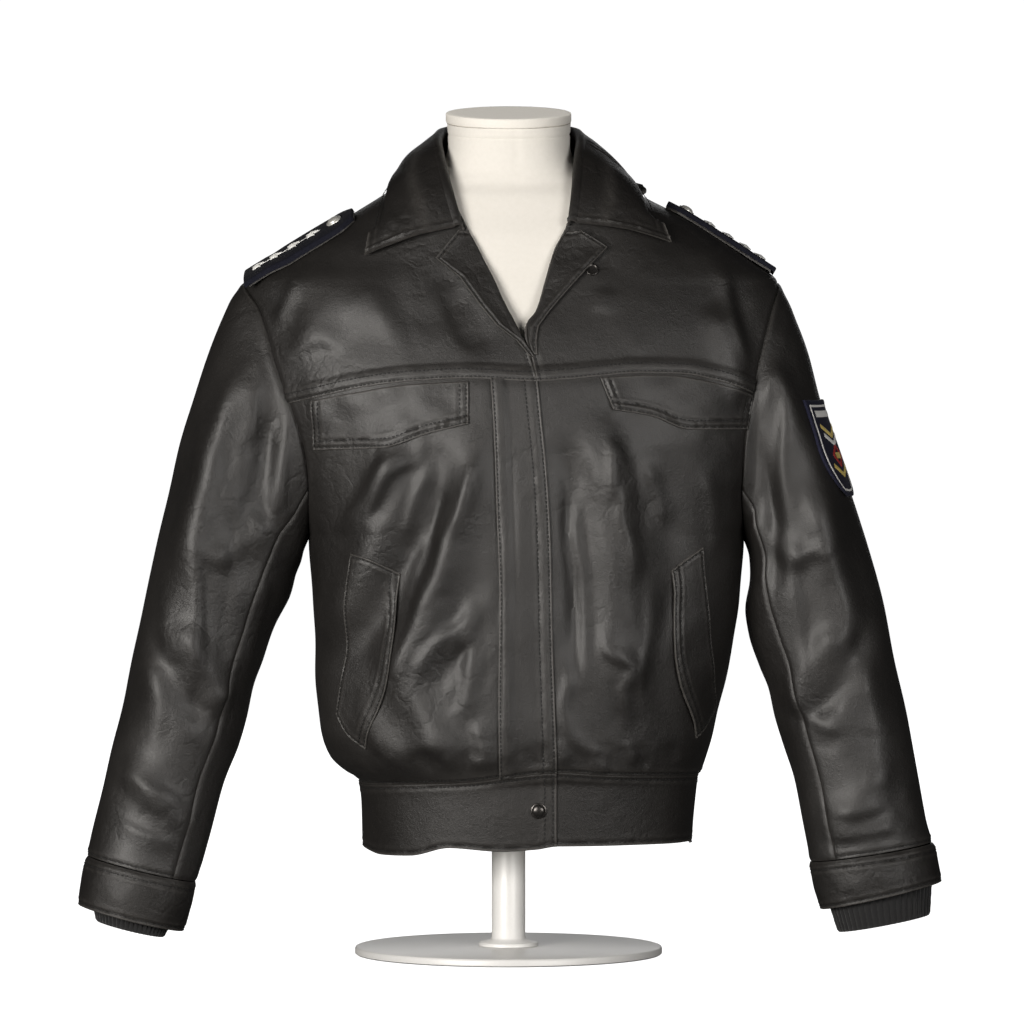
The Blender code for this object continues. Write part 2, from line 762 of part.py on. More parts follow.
def front_piece(name, places, lift, thick, material, under, edge_lift=None):
    """A piece on the front, from a grid of (x, z) places moved out until it clears what is under it."""
    x, z = places[..., 0], places[..., 1]
    angle = angle_at(x, z)
    point, normal = trunk(angle, z), trunk_normals(angle, z)
    raised = np.full(x.shape, float(lift)) if edge_lift is None else edge_lift
    inner = point + normal * raised[..., None]
    inner = inner + normal * rise_to_clear(inner, normal, under)
    return wall(name, inner + normal * thick, inner, material)


def rise_to_clear(inner, normal, under):
    """How far each point of a piece's inner grid moves out to stand off what is under it."""
    trees = []
    for name in under:
        mesh = bpy.data.objects[name].data
        trees.append(BVHTree.FromPolygons([v.co / MM for v in mesh.vertices], [p.vertices for p in mesh.polygons]))
    rows, columns = inner.shape[:2]
    rise = np.zeros((rows, columns))
    for i in range(rows - 1):
        for j in range(columns - 1):
            needed = 0.0
            for s, t in ((a / 4, b / 4) for a in range(5) for b in range(5)):
                mix = ((1 - s) * (1 - t), (1 - s) * t, s * (1 - t), s * t)
                corners = ((i, j), (i, j + 1), (i + 1, j), (i + 1, j + 1))
                place = sum(m * inner[c] for m, c in zip(mix, corners))
                way = sum(m * normal[c] for m, c in zip(mix, corners))
                for tree in trees:
                    hit = tree.ray_cast(Vector(place + way * 40), Vector(-way), 80)
                    if hit[0] is not None:
                        needed = max(needed, 40 + 2 * SEAM_GAP - hit[3])
            block = rise[i : i + 2, j : j + 2]
            np.maximum(block, needed, out=block)
    return rise[..., None]


def build_lapels():
    """The fronts' top corners, turned back over the yokes."""
    for word, rows in (("right", RIGHT_LAPEL), ("left", LEFT_LAPEL)):
        keys = [row.z for row in rows]
        z = np.linspace(keys[0], keys[-1], 15)
        outer = smooth_column(keys, [row.outer for row in rows], z)
        fold = smooth_column(keys, [row.fold for row in rows], z)
        share = np.linspace(0, 1, 4)
        x = fold[:, None] * (1 - share) + outer[:, None] * share
        places = np.stack([x, np.repeat(z[:, None], 4, axis=1)], axis=-1)
        rise = SEAM_GAP + 3.6 * share[None, :] * soft_step((z[:, None] - 610) / 60)
        under = (f"yoke_front_{word}",)
        front_piece(f"lapel_{word}", places, 0, HIDE_PIECE, black_leather(), under, rise)


def ruled(top, bottom, columns, rows):
    """A grid of places between two polylines of (x, z) corners, each corner kept."""

    def spread(line):
        line = np.array(line, float)
        length = np.concatenate([[0], np.cumsum(np.hypot(*np.diff(line, axis=0).T))])
        share = length / length[-1]
        at = np.linspace(0, 1, columns + 1)
        for corner in share[1:-1]:
            at[np.argmin(np.abs(at - corner))] = corner
        return np.stack([np.interp(at, share, line[:, k]) for k in (0, 1)], axis=-1)

    upper, lower = spread(top), spread(bottom)
    v = np.linspace(0, 1, rows + 1)[:, None, None]
    return upper * (1 - v) + lower * v


def build_pockets():
    """Chest pocket flaps and slanting hand pocket flaps."""
    pieces = (
        (
            "chest_flap_right",
            [(-196.5, 560), (-150, 569), (-95, 577), (-39.6, 580)],
            [(-192, 511.3), (-123, 514.4), (-80, 528), (-39.4, 538)],
        ),
        (
            "chest_flap_left",
            [(91, 584), (150, 586), (200, 579), (243, 565)],
            [(103.7, 552), (140, 546), (180, 532), (236.6, 531.6)],
        ),
        (
            "hand_flap_right",
            [(-152.5, 408.6), (-138, 405), (-109.5, 388)],
            [(-169, 247), (-158, 225), (-142, 212.5)],
        ),
        (
            "hand_flap_left",
            [(164, 391.4), (180, 404), (193.6, 414)],
            [(187, 222), (196, 232), (207, 252)],
        ),
    )
    for name, top, bottom in pieces:
        is_chest = name.startswith("chest")
        places = ruled(top, bottom, 9 if is_chest else 4, 3 if is_chest else 9)
        if not is_chest:
            places = hand_flap_shape(places, -1 if "right" in name else 1)
        word = name.split("_")[-1]
        under = (f"front_{word}", f"yoke_front_{word}", f"sleeve_top_{word}")
        front_piece(name, places, SEAM_GAP, HIDE_PIECE, black_leather(), under if is_chest else under[:1])


def hand_flap_shape(places, side):
    """Bends the flap's free edge, which stays upright to two thirds down and then slants in."""
    rows, columns = places.shape[:2]
    down = np.linspace(0, 1, rows)[:, None]
    inward = np.linspace(0, 1, columns)[None, :]
    if side > 0:
        inward = 1 - inward
    bow = 12.0 * soft_step(down / 0.55) * soft_step((1 - down) / 0.42)
    places[..., 0] = places[..., 0] - side * bow * inward
    return places


def height_at(x, y):
    """The height of the shoulder under a place seen from above."""
    low, high = np.full(np.shape(x), 640.0), np.full(np.shape(x), 800.0)
    for _ in range(40):
        z = (low + high) / 2
        middle, half, depth = trunk_ring(z, y < 0)
        inside = (np.abs(x - middle) / half) ** ROUNDNESS + (np.abs(y) / depth) ** ROUNDNESS < 1
        low, high = np.where(inside, z, low), np.where(inside, high, z)
    return (low + high) / 2


STRAP_LENGTH = 126.0
STRAP_HALF = 23.0
BOARD_HALF = 24.5
STRAP_THICK = 2.2
BOARD_THICK = 3.4
STRAPS = {"right": (-1, 259.0, -27.0), "left": (1, 263.0, 8.0)}
STRAP_STRAIGHT_FROM = 240.0
STRAP_DROP = 0.62


def strap_grid(side, outer_x, middle_y, length, half, columns=5, rows=10):
    """Places of a shoulder strap from its sleeve end to its pointed neck end."""
    along = np.linspace(0, 1, rows + 1)[:, None]
    across = np.linspace(-1, 1, columns + 1)[None, :]
    point = soft_step((along - 0.86) / 0.3) * 2.2
    width = half * (1 - 0.12 * along) * (1 - 0.45 * np.clip(point, 0, 1))
    x = outer_x - length * 0.86 * along
    y = middle_y + width * across
    return side * (x + 0 * y), y


def strap_height(x, y, middle_y):
    """The height of a stiff strap: straight across, and straight along past the shoulder's end."""
    reach = np.minimum(np.abs(x), STRAP_STRAIGHT_FROM)
    spread = 12.0
    low = height_at(np.sign(x) * reach, middle_y - spread + 0 * y)
    high = height_at(np.sign(x) * reach, middle_y + spread + 0 * y)
    lean = (high - low) / (2 * spread)
    return (low + high) / 2 + lean * (y - middle_y) - STRAP_DROP * (np.abs(x) - reach)


def strap_surface(x, y, middle_y):
    """Strap points and normals over the shoulder, from a grid seen from above."""
    z = strap_height(x, y, middle_y)
    point = np.stack([x, y, z], axis=-1)
    slope_x = (strap_height(x + 2, y, middle_y) - strap_height(x - 2, y, middle_y)) / 4
    slope_y = (strap_height(x, y + 3, middle_y) - strap_height(x, y - 3, middle_y)) / 6
    normal = np.stack([-slope_x, -slope_y, np.ones_like(z)], axis=-1)
    return point, normal / np.linalg.norm(normal, axis=-1, keepdims=True)


def build_straps():
    """Leather shoulder straps, the cloth boards over them and their buttons."""
    for word, (side, outer_x, middle_y) in STRAPS.items():
        x, y = strap_grid(side, outer_x, middle_y, STRAP_LENGTH - 4, STRAP_HALF)
        point, normal = strap_surface(x, y, middle_y)
        low = point + normal * SEAM_GAP
        under = (f"yoke_front_{word}", "yoke_back", f"sleeve_top_{word}")
        first = rise_to_clear(low, normal, under)
        low = low + normal * first
        first = first.max()
        wall(f"shoulder_strap_{word}", low + normal * STRAP_THICK, low, black_leather())
        x, y = strap_grid(side, outer_x + 3, middle_y - 1.0, STRAP_LENGTH, BOARD_HALF)
        point, normal = strap_surface(x, y, middle_y)
        low = point + normal * (first + STRAP_THICK + SEAM_GAP)
        second = rise_to_clear(low, normal, (f"shoulder_strap_{word}", *under))
        low = low + normal * second
        second = second.max()
        wall(f"rank_board_{word}", low + normal * BOARD_THICK, low, navy_cloth())
        at_x = np.array([[side * (outer_x - STRAP_LENGTH * 0.86 * 0.84)]])
        at_y = np.array([[middle_y - 1.0]])
        point, normal = strap_surface(at_x, at_y, middle_y)
        foot = point[0, 0] + normal[0, 0] * (first + second + STRAP_THICK + BOARD_THICK + SEAM_GAP)
        domed_button(f"strap_button_{word}", foot, normal[0, 0], 8.2, 4.2, silver_metal())


def domed_button(name, foot, normal, radius, height, material, sides=16):
    """A shallow dome on a round edge, standing on a point along a normal."""
    normal = np.asarray(normal, float) / np.linalg.norm(normal)
    helper = np.array([0.0, 0.0, 1.0]) if abs(normal[2]) < 0.9 else np.array([0.0, 1.0, 0.0])
    first = np.cross(helper, normal)
    first = first / np.linalg.norm(first)
    second = np.cross(normal, first)
    profile = ((1.0, 0.0), (1.0, 0.28), (0.86, 0.62), (0.55, 0.88))
    points = []
    for share, rise in profile:
        for k in range(sides):
            turn = 2 * math.pi * k / sides
            spoke = first * math.cos(turn) + second * math.sin(turn)
            points.append(foot + spoke * radius * share + normal * height * rise)
    points.append(foot + normal * height)
    faces = [tuple(range(sides - 1, -1, -1))]
    for ring in range(len(profile) - 1):
        for k in range(sides):
            n = (k + 1) % sides
            faces.append((ring * sides + k, ring * sides + n, (ring + 1) * sides + n, (ring + 1) * sides + k))
    last = (len(profile) - 1) * sides
    for k in range(sides):
        faces.append((last + k, last + (k + 1) % sides, len(points) - 1))
    part = add_mesh(name, points, faces, material)
    face_outwards(part)
    return part


def build_fasteners():
    """The press stud on the hem band and the button under the left lapel."""
    x, z = SNAP_AT
    angle = angle_at(np.array(x), np.array(z))
    point, normal = trunk(angle, z), trunk_normals(angle, z)
    foot = point + normal * (0.8 + SEAM_GAP + 0.3)
    domed_button("press_stud", foot, normal, SNAP_RADIUS, 3.6, gunmetal())
    x, z = 83.0, 690.0
    angle = angle_at(np.array(x), np.array(z))
    point, normal = trunk(angle, z), trunk_normals(angle, z)
    domed_button("lapel_button", point + normal * 0.5, normal, 6.5, 2.2, gunmetal(), 12)


PATCH_TURN = math.radians(21.0)
PATCH_HALF_WIDTH = 37.0
PATCH_HEIGHT = 98.0
PATCH_TOP_Z = 558.5
PATCH_THICK = 2.2


def patch_half_width(down):
    """A shield: straight sides, then a round point."""
    below = np.clip((down - 0.45) / 0.5505, 0, 1)
    return np.where(down < 0.45, 1.0 - 0.06 * down, 0.973 * np.sqrt(1 - below**2.2))


def patch_grid(columns, rows):
    """Turn and down on the left sleeve for a shield-shaped patch with level rows."""
    share = np.linspace(0.0, 0.985, rows + 1)[:, None]
    across = np.linspace(-1, 1, columns + 1)[None, :]
    turn = PATCH_TURN + across * patch_half_width(share) * PATCH_HALF_WIDTH / 72.0
    height = PATCH_TOP_Z - share * PATCH_HEIGHT
    low, high = np.zeros(turn.shape), np.full(turn.shape, 0.9)
    for _ in range(30):
        down = (low + high) / 2
        is_above = sleeve(LEFT_SLEEVE, 1, turn, down)[..., 2] > height
        low, high = np.where(is_above, down, low), np.where(is_above, high, down)
    return turn, down


def build_patch():
    """The shield-shaped cloth patch on the left sleeve."""
    turn, down = patch_grid(8, 9)

    def surface(t, d):
        return sleeve(LEFT_SLEEVE, 1, t, d)

    point = surface(turn, down)
    normal = normals_of(surface, turn, down, 0.02, 0.006)
    inner = point + normal * (LEATHER + SEAM_GAP)
    inner = inner + normal * rise_to_clear(inner, normal, ("sleeve_top_left",))
    wall("sleeve_patch", inner + normal * PATCH_THICK, inner, patch_cloth())


def level_ring(section, sides):
    """A ring of the form in millimetres."""
    turn = np.linspace(0, 2 * math.pi, sides, endpoint=False)
    sine, cosine = np.sin(turn), np.cos(turn)
    depth = np.where(cosine > 0, section.front, section.back)
    x = section.middle + section.half * np.sign(sine) * np.abs(sine) ** (2 / ROUNDNESS)
    y = -depth * np.sign(cosine) * np.abs(cosine) ** (2 / ROUNDNESS)
    return np.stack([x, y, np.full(sides, section.z)], axis=-1)


def closed_stack(name, rings, material):
    """A solid through rings of points, with flat ends."""
    sides = len(rings[0])
    points = np.concatenate(rings)
    faces = [tuple(range(sides)), tuple(range((len(rings) - 1) * sides, len(rings) * sides))[::-1]]
    for ring in range(len(rings) - 1):
        for k in range(sides):
            n = (k + 1) % sides
            low, high = ring * sides, (ring + 1) * sides
            faces.append((low + k, high + k, high + n, low + n))
    part = add_mesh(name, points, faces, material)
    face_outwards(part)
    return part


def build_form():
    """The limbless form, its tilted neck plate, post and base plate."""
    sides = 32
    heights = np.concatenate([np.linspace(FORM_BOTTOM_Z, 640, 8), np.linspace(668, 802, 11), [818, NECK_PLATE_Z]])
    rings = []
    for z in heights:
        values = [column(FORM, name, z) for name in FormSection._fields[1:]]
        rings.append(level_ring(FormSection(z, *values), sides))
    tilt_about = NECK_PLATE_Z
    rings[-1][:, 2] = tilt_about + rings[-1][:, 1] * math.tan(NECK_PLATE_TILT)
    rings[-2][:, 2] = 818 + rings[-2][:, 1] * math.tan(NECK_PLATE_TILT * 0.5)
    closed_stack("form_body", rings, form_cloth())
    plate_sides = 40
    turn = np.linspace(0, 2 * math.pi, plate_sides, endpoint=False)
    plate = []
    for radius, height in ((62.2, SEAM_GAP), (63.2, 2.0), (63.2, 8.5), (61.8, 9.8)):
        x, y = radius * np.sin(turn), -(radius * 0.985) * np.cos(turn)
        plate.append(
            np.stack(
                [x, y * math.cos(NECK_PLATE_TILT), tilt_about + height + y * math.sin(NECK_PLATE_TILT)], axis=-1
            )
        )
    closed_stack("neck_plate", plate, form_cloth())
    post = []
    turn = np.linspace(0, 2 * math.pi, 24, endpoint=False)
    for radius, z in ((30, 8.3), (30, 12), (POST_RADIUS, 17), (POST_RADIUS, FORM_BOTTOM_Z - 0.3)):
        post.append(np.stack([radius * np.sin(turn), -radius * np.cos(turn), np.full(24, float(z))], axis=-1))
    closed_stack("stand_post", post, stand_paint())
    base = []
    turn = np.linspace(0, 2 * math.pi, 48, endpoint=False)
    for radius, z in ((BASE_RADIUS - 1.5, 0), (BASE_RADIUS, 1.5), (BASE_RADIUS, BASE_THICK - 2), (BASE_RADIUS - 2, BASE_THICK)):
        base.append(np.stack([radius * np.sin(turn), -radius * np.cos(turn), np.full(48, float(z))], axis=-1))
    closed_stack("stand_base", base, stand_paint())


def main():
    for part in list(bpy.data.objects):
        bpy.data.objects.remove(part)
    build_form()
    build_trunk()
    build_sleeves()
    build_collar()
    build_lapels()
    build_pockets()
    build_straps()
    build_fasteners()
    build_patch()


main()
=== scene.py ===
"""Looks of a black leather blouson worn on a limbless dress form.

The front faces -Y, +Z is up and +X is the wearer's left. Tables hold millimetres, and what
is built is in metres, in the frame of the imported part.
"""

from __future__ import annotations

import logging
import math
from dataclasses import dataclass, field, replace
from enum import Enum
from typing import Callable, NamedTuple, Sequence

import bpy
import numpy as np
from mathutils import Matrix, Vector
from mathutils.bvhtree import BVHTree


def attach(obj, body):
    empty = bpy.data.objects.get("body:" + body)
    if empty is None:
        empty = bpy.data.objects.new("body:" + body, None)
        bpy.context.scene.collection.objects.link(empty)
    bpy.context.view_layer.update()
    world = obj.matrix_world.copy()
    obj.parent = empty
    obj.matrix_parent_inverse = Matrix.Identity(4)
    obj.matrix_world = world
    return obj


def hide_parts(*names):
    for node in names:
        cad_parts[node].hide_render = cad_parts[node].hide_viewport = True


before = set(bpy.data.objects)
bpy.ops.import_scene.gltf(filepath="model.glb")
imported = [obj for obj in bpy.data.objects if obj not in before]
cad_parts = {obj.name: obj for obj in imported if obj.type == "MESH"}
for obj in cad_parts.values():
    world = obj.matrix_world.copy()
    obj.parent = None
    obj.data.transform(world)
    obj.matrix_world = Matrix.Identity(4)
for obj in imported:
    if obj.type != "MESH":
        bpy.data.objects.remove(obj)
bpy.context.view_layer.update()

LOG = logging.getLogger("leather_blouson")
MM = 0.001
ROUNDNESS = 2.3
ARMPIT_Z = 425.0
SHOULDER_TIP_Z = 677.0
ARMHOLE_FRONT = 74.0
ARMHOLE_BACK = 84.0
NECKLINE_Z = 797.0
HEM_SEAM_Z = 178.0
BACK_YOKE_Z = 598.0
VIEW_MIDDLE = 508.0
VIEW_FLOOR = 960.0

Places = np.ndarray
Line = Callable[[Places], Places]


class Body(NamedTuple):
    """One level section of the blouson's trunk: half widths, then depths."""

    z: float
    right: float
    left: float
    front: float
    back: float


class Sleeve(NamedTuple):
    """One slanting section of a sleeve: its outer and inner points seen from the front."""

    outer_x: float
    outer_z: float
    inner_x: float
    inner_z: float
    front: float
    back: float
    middle_y: float


class Fold(NamedTuple):
    """One soft ridge or, with a height below nought, trough, seen from the front or back."""

    x: float
    z: float
    to_x: float
    to_z: float
    bend: float
    width: float
    height: float


TRUNK = (
    Body(z=100, right=146, left=184, front=119, back=124),
    Body(z=150, right=147, left=186, front=120, back=125),
    Body(z=177, right=151, left=189, front=122, back=127),
    Body(z=187, right=166, left=194, front=127, back=132),
    Body(z=200, right=179, left=199, front=132, back=137),
    Body(z=220, right=187, left=205, front=136, back=140),
    Body(z=245, right=191, left=210, front=138, back=142),
    Body(z=280, right=194, left=219, front=139, back=142),
    Body(z=320, right=195, left=227, front=140, back=141),
    Body(z=360, right=197, left=233, front=141, back=140),
    Body(z=425, right=201, left=237, front=143, back=138),
    Body(z=467, right=200, left=234, front=143, back=137),
    Body(z=513, right=205, left=236, front=142, back=136),
    Body(z=548, right=215, left=240, front=139, back=134),
    Body(z=573, right=225, left=245, front=136, back=131),
    Body(z=600, right=234, left=251, front=130, back=128),
    Body(z=625, right=241, left=258, front=123, back=124),
    Body(z=650, right=250, left=264, front=114, back=119),
    Body(z=677, right=265, left=270, front=104, back=111),
    Body(z=700, right=230, left=242, front=95, back=104),
    Body(z=720, right=198, left=211, front=88, back=98),
    Body(z=747, right=155, left=168, front=79, back=89),
    Body(z=764, right=126, left=134, front=73, back=83),
    Body(z=780, right=102, left=107, front=68, back=77),
    Body(z=800, right=82, left=85, front=63, back=70),
)


RIGHT_SLEEVE = (
    Sleeve(265, 677, 201, 425, ARMHOLE_FRONT, ARMHOLE_BACK, 0),
    Sleeve(279, 648, 206, 398, 76, 84, 0),
    Sleeve(297, 608, 214, 382, 77, 83, -1),
    Sleeve(315, 560, 222, 362, 77, 80, -2),
    Sleeve(330, 505, 236, 333, 75, 76, -4),
    Sleeve(346, 440, 248, 298, 71, 71, -7),
    Sleeve(359, 380, 258, 272, 67, 66, -11),
    Sleeve(371, 322, 265, 240, 62, 61, -16),
    Sleeve(383, 262, 273, 212, 57, 56, -21),
    Sleeve(398, 205, 288, 174, 52, 51, -27),
    Sleeve(411, 150, 302, 121, 47, 46, -33),
    Sleeve(421, 103, 315, 77, 44, 43, -38),
)
LEFT_SLEEVE = (
    Sleeve(270, 677, 237, 425, ARMHOLE_FRONT, ARMHOLE_BACK, 0),
    Sleeve(283, 640, 240, 394, 76, 84, 0),
    Sleeve(299, 598, 241, 370, 77, 83, -1),
    Sleeve(316, 545, 240, 350, 77, 80, -2),
    Sleeve(333, 496, 244, 322, 75, 76, -4),
    Sleeve(351, 440, 254, 292, 71, 71, -7),
    Sleeve(366, 388, 264, 268, 67, 66, -11),
    Sleeve(380, 330, 270, 240, 62, 61, -16),
    Sleeve(391, 276, 278, 210, 57, 56, -21),
    Sleeve(403, 220, 288, 178, 52, 51, -27),
    Sleeve(412, 165, 297, 136, 47, 46, -33),
    Sleeve(423, 116, 304, 97, 44, 43, -38),
)
RIGHT_CUFF = (
    Sleeve(422, 102, 315, 76, 46, 45, -38),
    Sleeve(426, 78, 322, 51, 46, 45, -39),
    Sleeve(430, 53, 329, 27, 45, 44, -40),
)
LEFT_CUFF = (
    Sleeve(425, 115, 304, 96, 46, 45, -38),
    Sleeve(429, 95, 309, 73, 46, 45, -39),
    Sleeve(432, 76, 315, 49, 45, 44, -40),
)
RIGHT_KNIT = (
    Sleeve(423, 78, 324.8, 54, 43.4, 42.4, -39),
    Sleeve(417, 64, 336, 44, 37, 36, -39),
    Sleeve(412, 37, 348, 21, 31, 30, -40),
)
LEFT_KNIT = (
    Sleeve(426, 94.3, 311.3, 73.2, 43.2, 42.2, -39),
    Sleeve(423, 78, 322, 58, 37, 36, -39),
    Sleeve(421, 43, 333, 26, 32, 31, -40),
)


FRONT_FOLDS = (
    Fold(-112, 515, -178, 330, 10, 20, 9),
    Fold(-68, 500, -150, 300, 8, 17, -8),
    Fold(-35, 520, -92, 300, 6, 18, 7),
    Fold(-120, 330, -60, 210, -6, 18, 6),
    Fold(60, 520, 70, 300, 6, 17, -7),
    Fold(95, 530, 110, 260, 8, 22, 8),
    Fold(150, 500, 165, 330, 6, 22, -5),
    Fold(-210, 620, -110, 640, 26, 26, 5),
    Fold(205, 650, 232, 560, 4, 15, 6),
    Fold(-70, 690, -20, 610, 6, 16, -4),
    Fold(-186, 300, -178, 215, 0, 20, 4),
)
BACK_FOLDS = (
    Fold(-120, 560, -80, 300, 12, 24, -7),
    Fold(-60, 540, -30, 260, 6, 22, 6),
    Fold(40, 545, 55, 270, 6, 24, -6),
    Fold(110, 560, 90, 300, -10, 24, 7),
    Fold(-180, 330, 0, 240, -20, 24, 5),
    Fold(20, 235, 190, 320, -20, 24, 5),
    Fold(-190, 620, -90, 640, 18, 24, 4),
    Fold(90, 640, 190, 615, 18, 24, 4),
)
SLEEVE_FOLDS = (
    Fold(250, 600, 320, 390, 14, 16, 7),
    Fold(226, 560, 268, 380, 6, 15, -7),
    Fold(300, 470, 352, 250, 6, 20, 6),
    Fold(330, 330, 285, 250, -6, 15, 5),
    Fold(352, 330, 300, 240, 10, 13, -5),
    Fold(245, 445, 300, 400, -10, 14, 5),
    Fold(380, 200, 320, 130, 4, 16, 4),
)


def smooth_column(keys: Sequence[float], values: Sequence[float], at: Places) -> Places:
    """A curve through rising keys that never swings past its values.

    Args:
        keys: Rising places.
        values: The value at each key.
        at: Where to read the curve.

    Returns:
        The curve's values.
    """
    keys = np.asarray(keys, float)
    values = np.asarray(values, float)
    at = np.clip(np.asarray(at, float), keys[0], keys[-1])
    step = np.diff(keys)
    slope = np.diff(values) / step
    tangent = np.zeros(len(keys))
    same_way = slope[:-1] * slope[1:] > 0
    weight = slope[:-1] + slope[1:]
    tangent[1:-1][same_way] = (2 * slope[:-1] * slope[1:])[same_way] / weight[same_way]
    tangent[0], tangent[-1] = slope[0], slope[-1]
    i = np.clip(np.searchsorted(keys, at, side="right") - 1, 0, len(step) - 1)
    t = (at - keys[i]) / step[i]
    return (
        values[i] * (1 + 2 * t) * (1 - t) ** 2
        + values[i + 1] * t * t * (3 - 2 * t)
        + step[i] * (tangent[i] * t * (1 - t) ** 2 - tangent[i + 1] * t * t * (1 - t))
    )


def column(table: Sequence[Body], name: str, at: Places) -> Places:
    """A named column of a table of level sections, read at a height."""
    return smooth_column([row.z for row in table], [getattr(row, name) for row in table], at)


def through(*places: tuple[float, float]) -> Line:
    """A smooth line through places, as a function that gives the second number from the first."""
    ordered = sorted(places)
    keys = [p[0] for p in ordered]
    values = [p[1] for p in ordered]
    return lambda at: smooth_column(keys, values, at)


def soft_step(t: Places) -> Places:
    """Nought to one, with level ends."""
    t = np.clip(t, 0, 1)
    return t * t * (3 - 2 * t)


def fold_height(folds: Sequence[Fold], x: Places, z: Places) -> Places:
    """How far a table of folds lifts the cloth at places seen from the front.

    Args:
        folds: The folds, each by its two ends.
        x: Places across, in millimetres.
        z: Heights, in millimetres.

    Returns:
        The rise of each place.
    """
    x, z = np.broadcast_arrays(np.asarray(x, float), np.asarray(z, float))
    lift = np.zeros(x.shape)
    for fold in folds:
        reach = 3.2 * fold.width + abs(fold.bend)
        near = (x > min(fold.x, fold.to_x) - reach) & (x < max(fold.x, fold.to_x) + reach)
        near &= (z > min(fold.z, fold.to_z) - reach) & (z < max(fold.z, fold.to_z) + reach)
        if not near.any():
            continue
        run_x, run_z = fold.to_x - fold.x, fold.to_z - fold.z
        length = math.hypot(run_x, run_z)
        off_x, off_z = x[near] - fold.x, z[near] - fold.z
        along = (off_x * run_x + off_z * run_z) / length**2
        across = (off_z * run_x - off_x * run_z) / length - fold.bend * 4 * along * (1 - along)
        ends = soft_step((along + 0.12) / 0.3) * soft_step((1.12 - along) / 0.3)
        lift[near] += fold.height * np.exp(-((across / fold.width) ** 2)) * ends
    return lift


@dataclass(frozen=True)
class Ripple:
    """Uneven ground under the creases: a few slow waves that never repeat at this size."""

    seed: int
    shortest: float
    longest: float
    height: float
    count: int = 18

    def at(self, x: Places, y: Places, z: Places) -> Places:
        """Its height at places in millimetres.

        Args:
            x: Places across.
            y: Places from front to back.
            z: Heights.

        Returns:
            The rise of each place.
        """
        draw = np.random.default_rng(self.seed)
        total = np.zeros(np.shape(x))
        for _ in range(self.count):
            way = draw.normal(size=3)
            way /= np.linalg.norm(way)
            length = draw.uniform(self.shortest, self.longest)
            phase = draw.uniform(0, 2 * math.pi)
            total = total + np.sin((x * way[0] + y * way[1] + z * way[2]) * 2 * math.pi / length + phase)
        return total * self.height / math.sqrt(self.count)


@dataclass(frozen=True)
class Ridge:
    """A long crease along a smooth line, steeper on one of its sides; a trough below nought."""

    line: tuple[tuple[float, float], ...]
    width: float
    height: float
    soft: float = 1.9

    def lift(self, x: Places, z: Places) -> Places:
        """How far it lifts the cloth at places seen from the front.

        Args:
            x: Places across, in millimetres.
            z: Heights, in millimetres.

        Returns:
            The rise of each place.
        """
        points = np.array(self.line, float)
        run = np.concatenate([[0], np.cumsum(np.hypot(*np.diff(points, axis=0).T))])
        at = np.linspace(0, run[-1], max(4, int(run[-1] / 7)))
        line = np.stack([smooth_column(run, points[:, k], at) for k in (0, 1)], axis=-1)
        reach = 2.6 * self.width * self.soft
        low, high = line.min(axis=0) - reach, line.max(axis=0) + reach
        near = (x > low[0]) & (x < high[0]) & (z > low[1]) & (z < high[1])
        lift = np.zeros(x.shape)
        if not near.any():
            return lift
        place = np.stack([x[near], z[near]], axis=-1)
        best = np.full(len(place), 1e9)
        side, share = np.zeros(len(place)), np.zeros(len(place))
        for k, (start, stop) in enumerate(zip(line, line[1:])):
            step = stop - start
            off = place - start
            t = np.clip(off @ step / (step @ step), 0, 1)
            away = np.hypot(*(off - t[:, None] * step).T)
            closer = away < best
            best = np.where(closer, away, best)
            side = np.where(closer, off[:, 0] * step[1] - off[:, 1] * step[0], side)
            share = np.where(closer, (k + t) / (len(line) - 1), share)
        spread = self.width * np.where(side > 0, 1.0, self.soft)
        ends = soft_step(share / 0.3) * soft_step((1 - share) / 0.3)
        lift[near] = self.height * np.exp(-((best / spread) ** 2)) * ends
        return lift


def ridge_height(ridges: Sequence[Ridge], x: Places, z: Places) -> Places:
    """How far a set of creases lifts the cloth."""
    x, z = np.broadcast_arrays(np.asarray(x, float), np.asarray(z, float))
    return sum((ridge.lift(x, z) for ridge in ridges), np.zeros(x.shape))


class CreaseSet:
    """Small creases drawn at random round a main direction, the same on every run."""

    def __init__(self, seed: int) -> None:
        """Starts the draws from a seed."""
        self.draw = np.random.default_rng(seed)
        self.folds: list[Ridge] = []

    def add(
        self,
        box: tuple[float, float, float, float],
        count: int,
        slant: float,
        spread: float,
        length: tuple[float, float],
        height: tuple[float, float],
        width: tuple[float, float] = (3.0, 8.0),
    ) -> "CreaseSet":
        """Adds creases inside a box seen from the front.

        Args:
            box: Low x, high x, low z and high z of the creases' middles.
            count: How many.
            slant: Their main direction in degrees from the upright, leaning to +X at the top.
            spread: How far in degrees they stray from it.
            length: Shortest and longest.
            height: Least and greatest. Every other one is a trough.
            width: Least and greatest.

        Returns:
            This set.
        """
        for k in range(count):
            x, z = self.draw.uniform(box[0], box[1]), self.draw.uniform(box[2], box[3])
            turn = math.radians(slant + self.draw.normal() * spread)
            step = self.draw.uniform(*length) / 3
            tall = self.draw.uniform(*height) * (1 if k % 2 else -0.9)
            wide = self.draw.uniform(*width)
            soft = self.draw.uniform(1.2, 2.6)
            line = [(x, z)]
            for _ in range(3):
                line.append((line[-1][0] + math.sin(turn) * step, line[-1][1] + math.cos(turn) * step))
                turn += self.draw.normal() * 0.16
            self.folds.append(Ridge(tuple(line), wide, tall, soft))
        return self


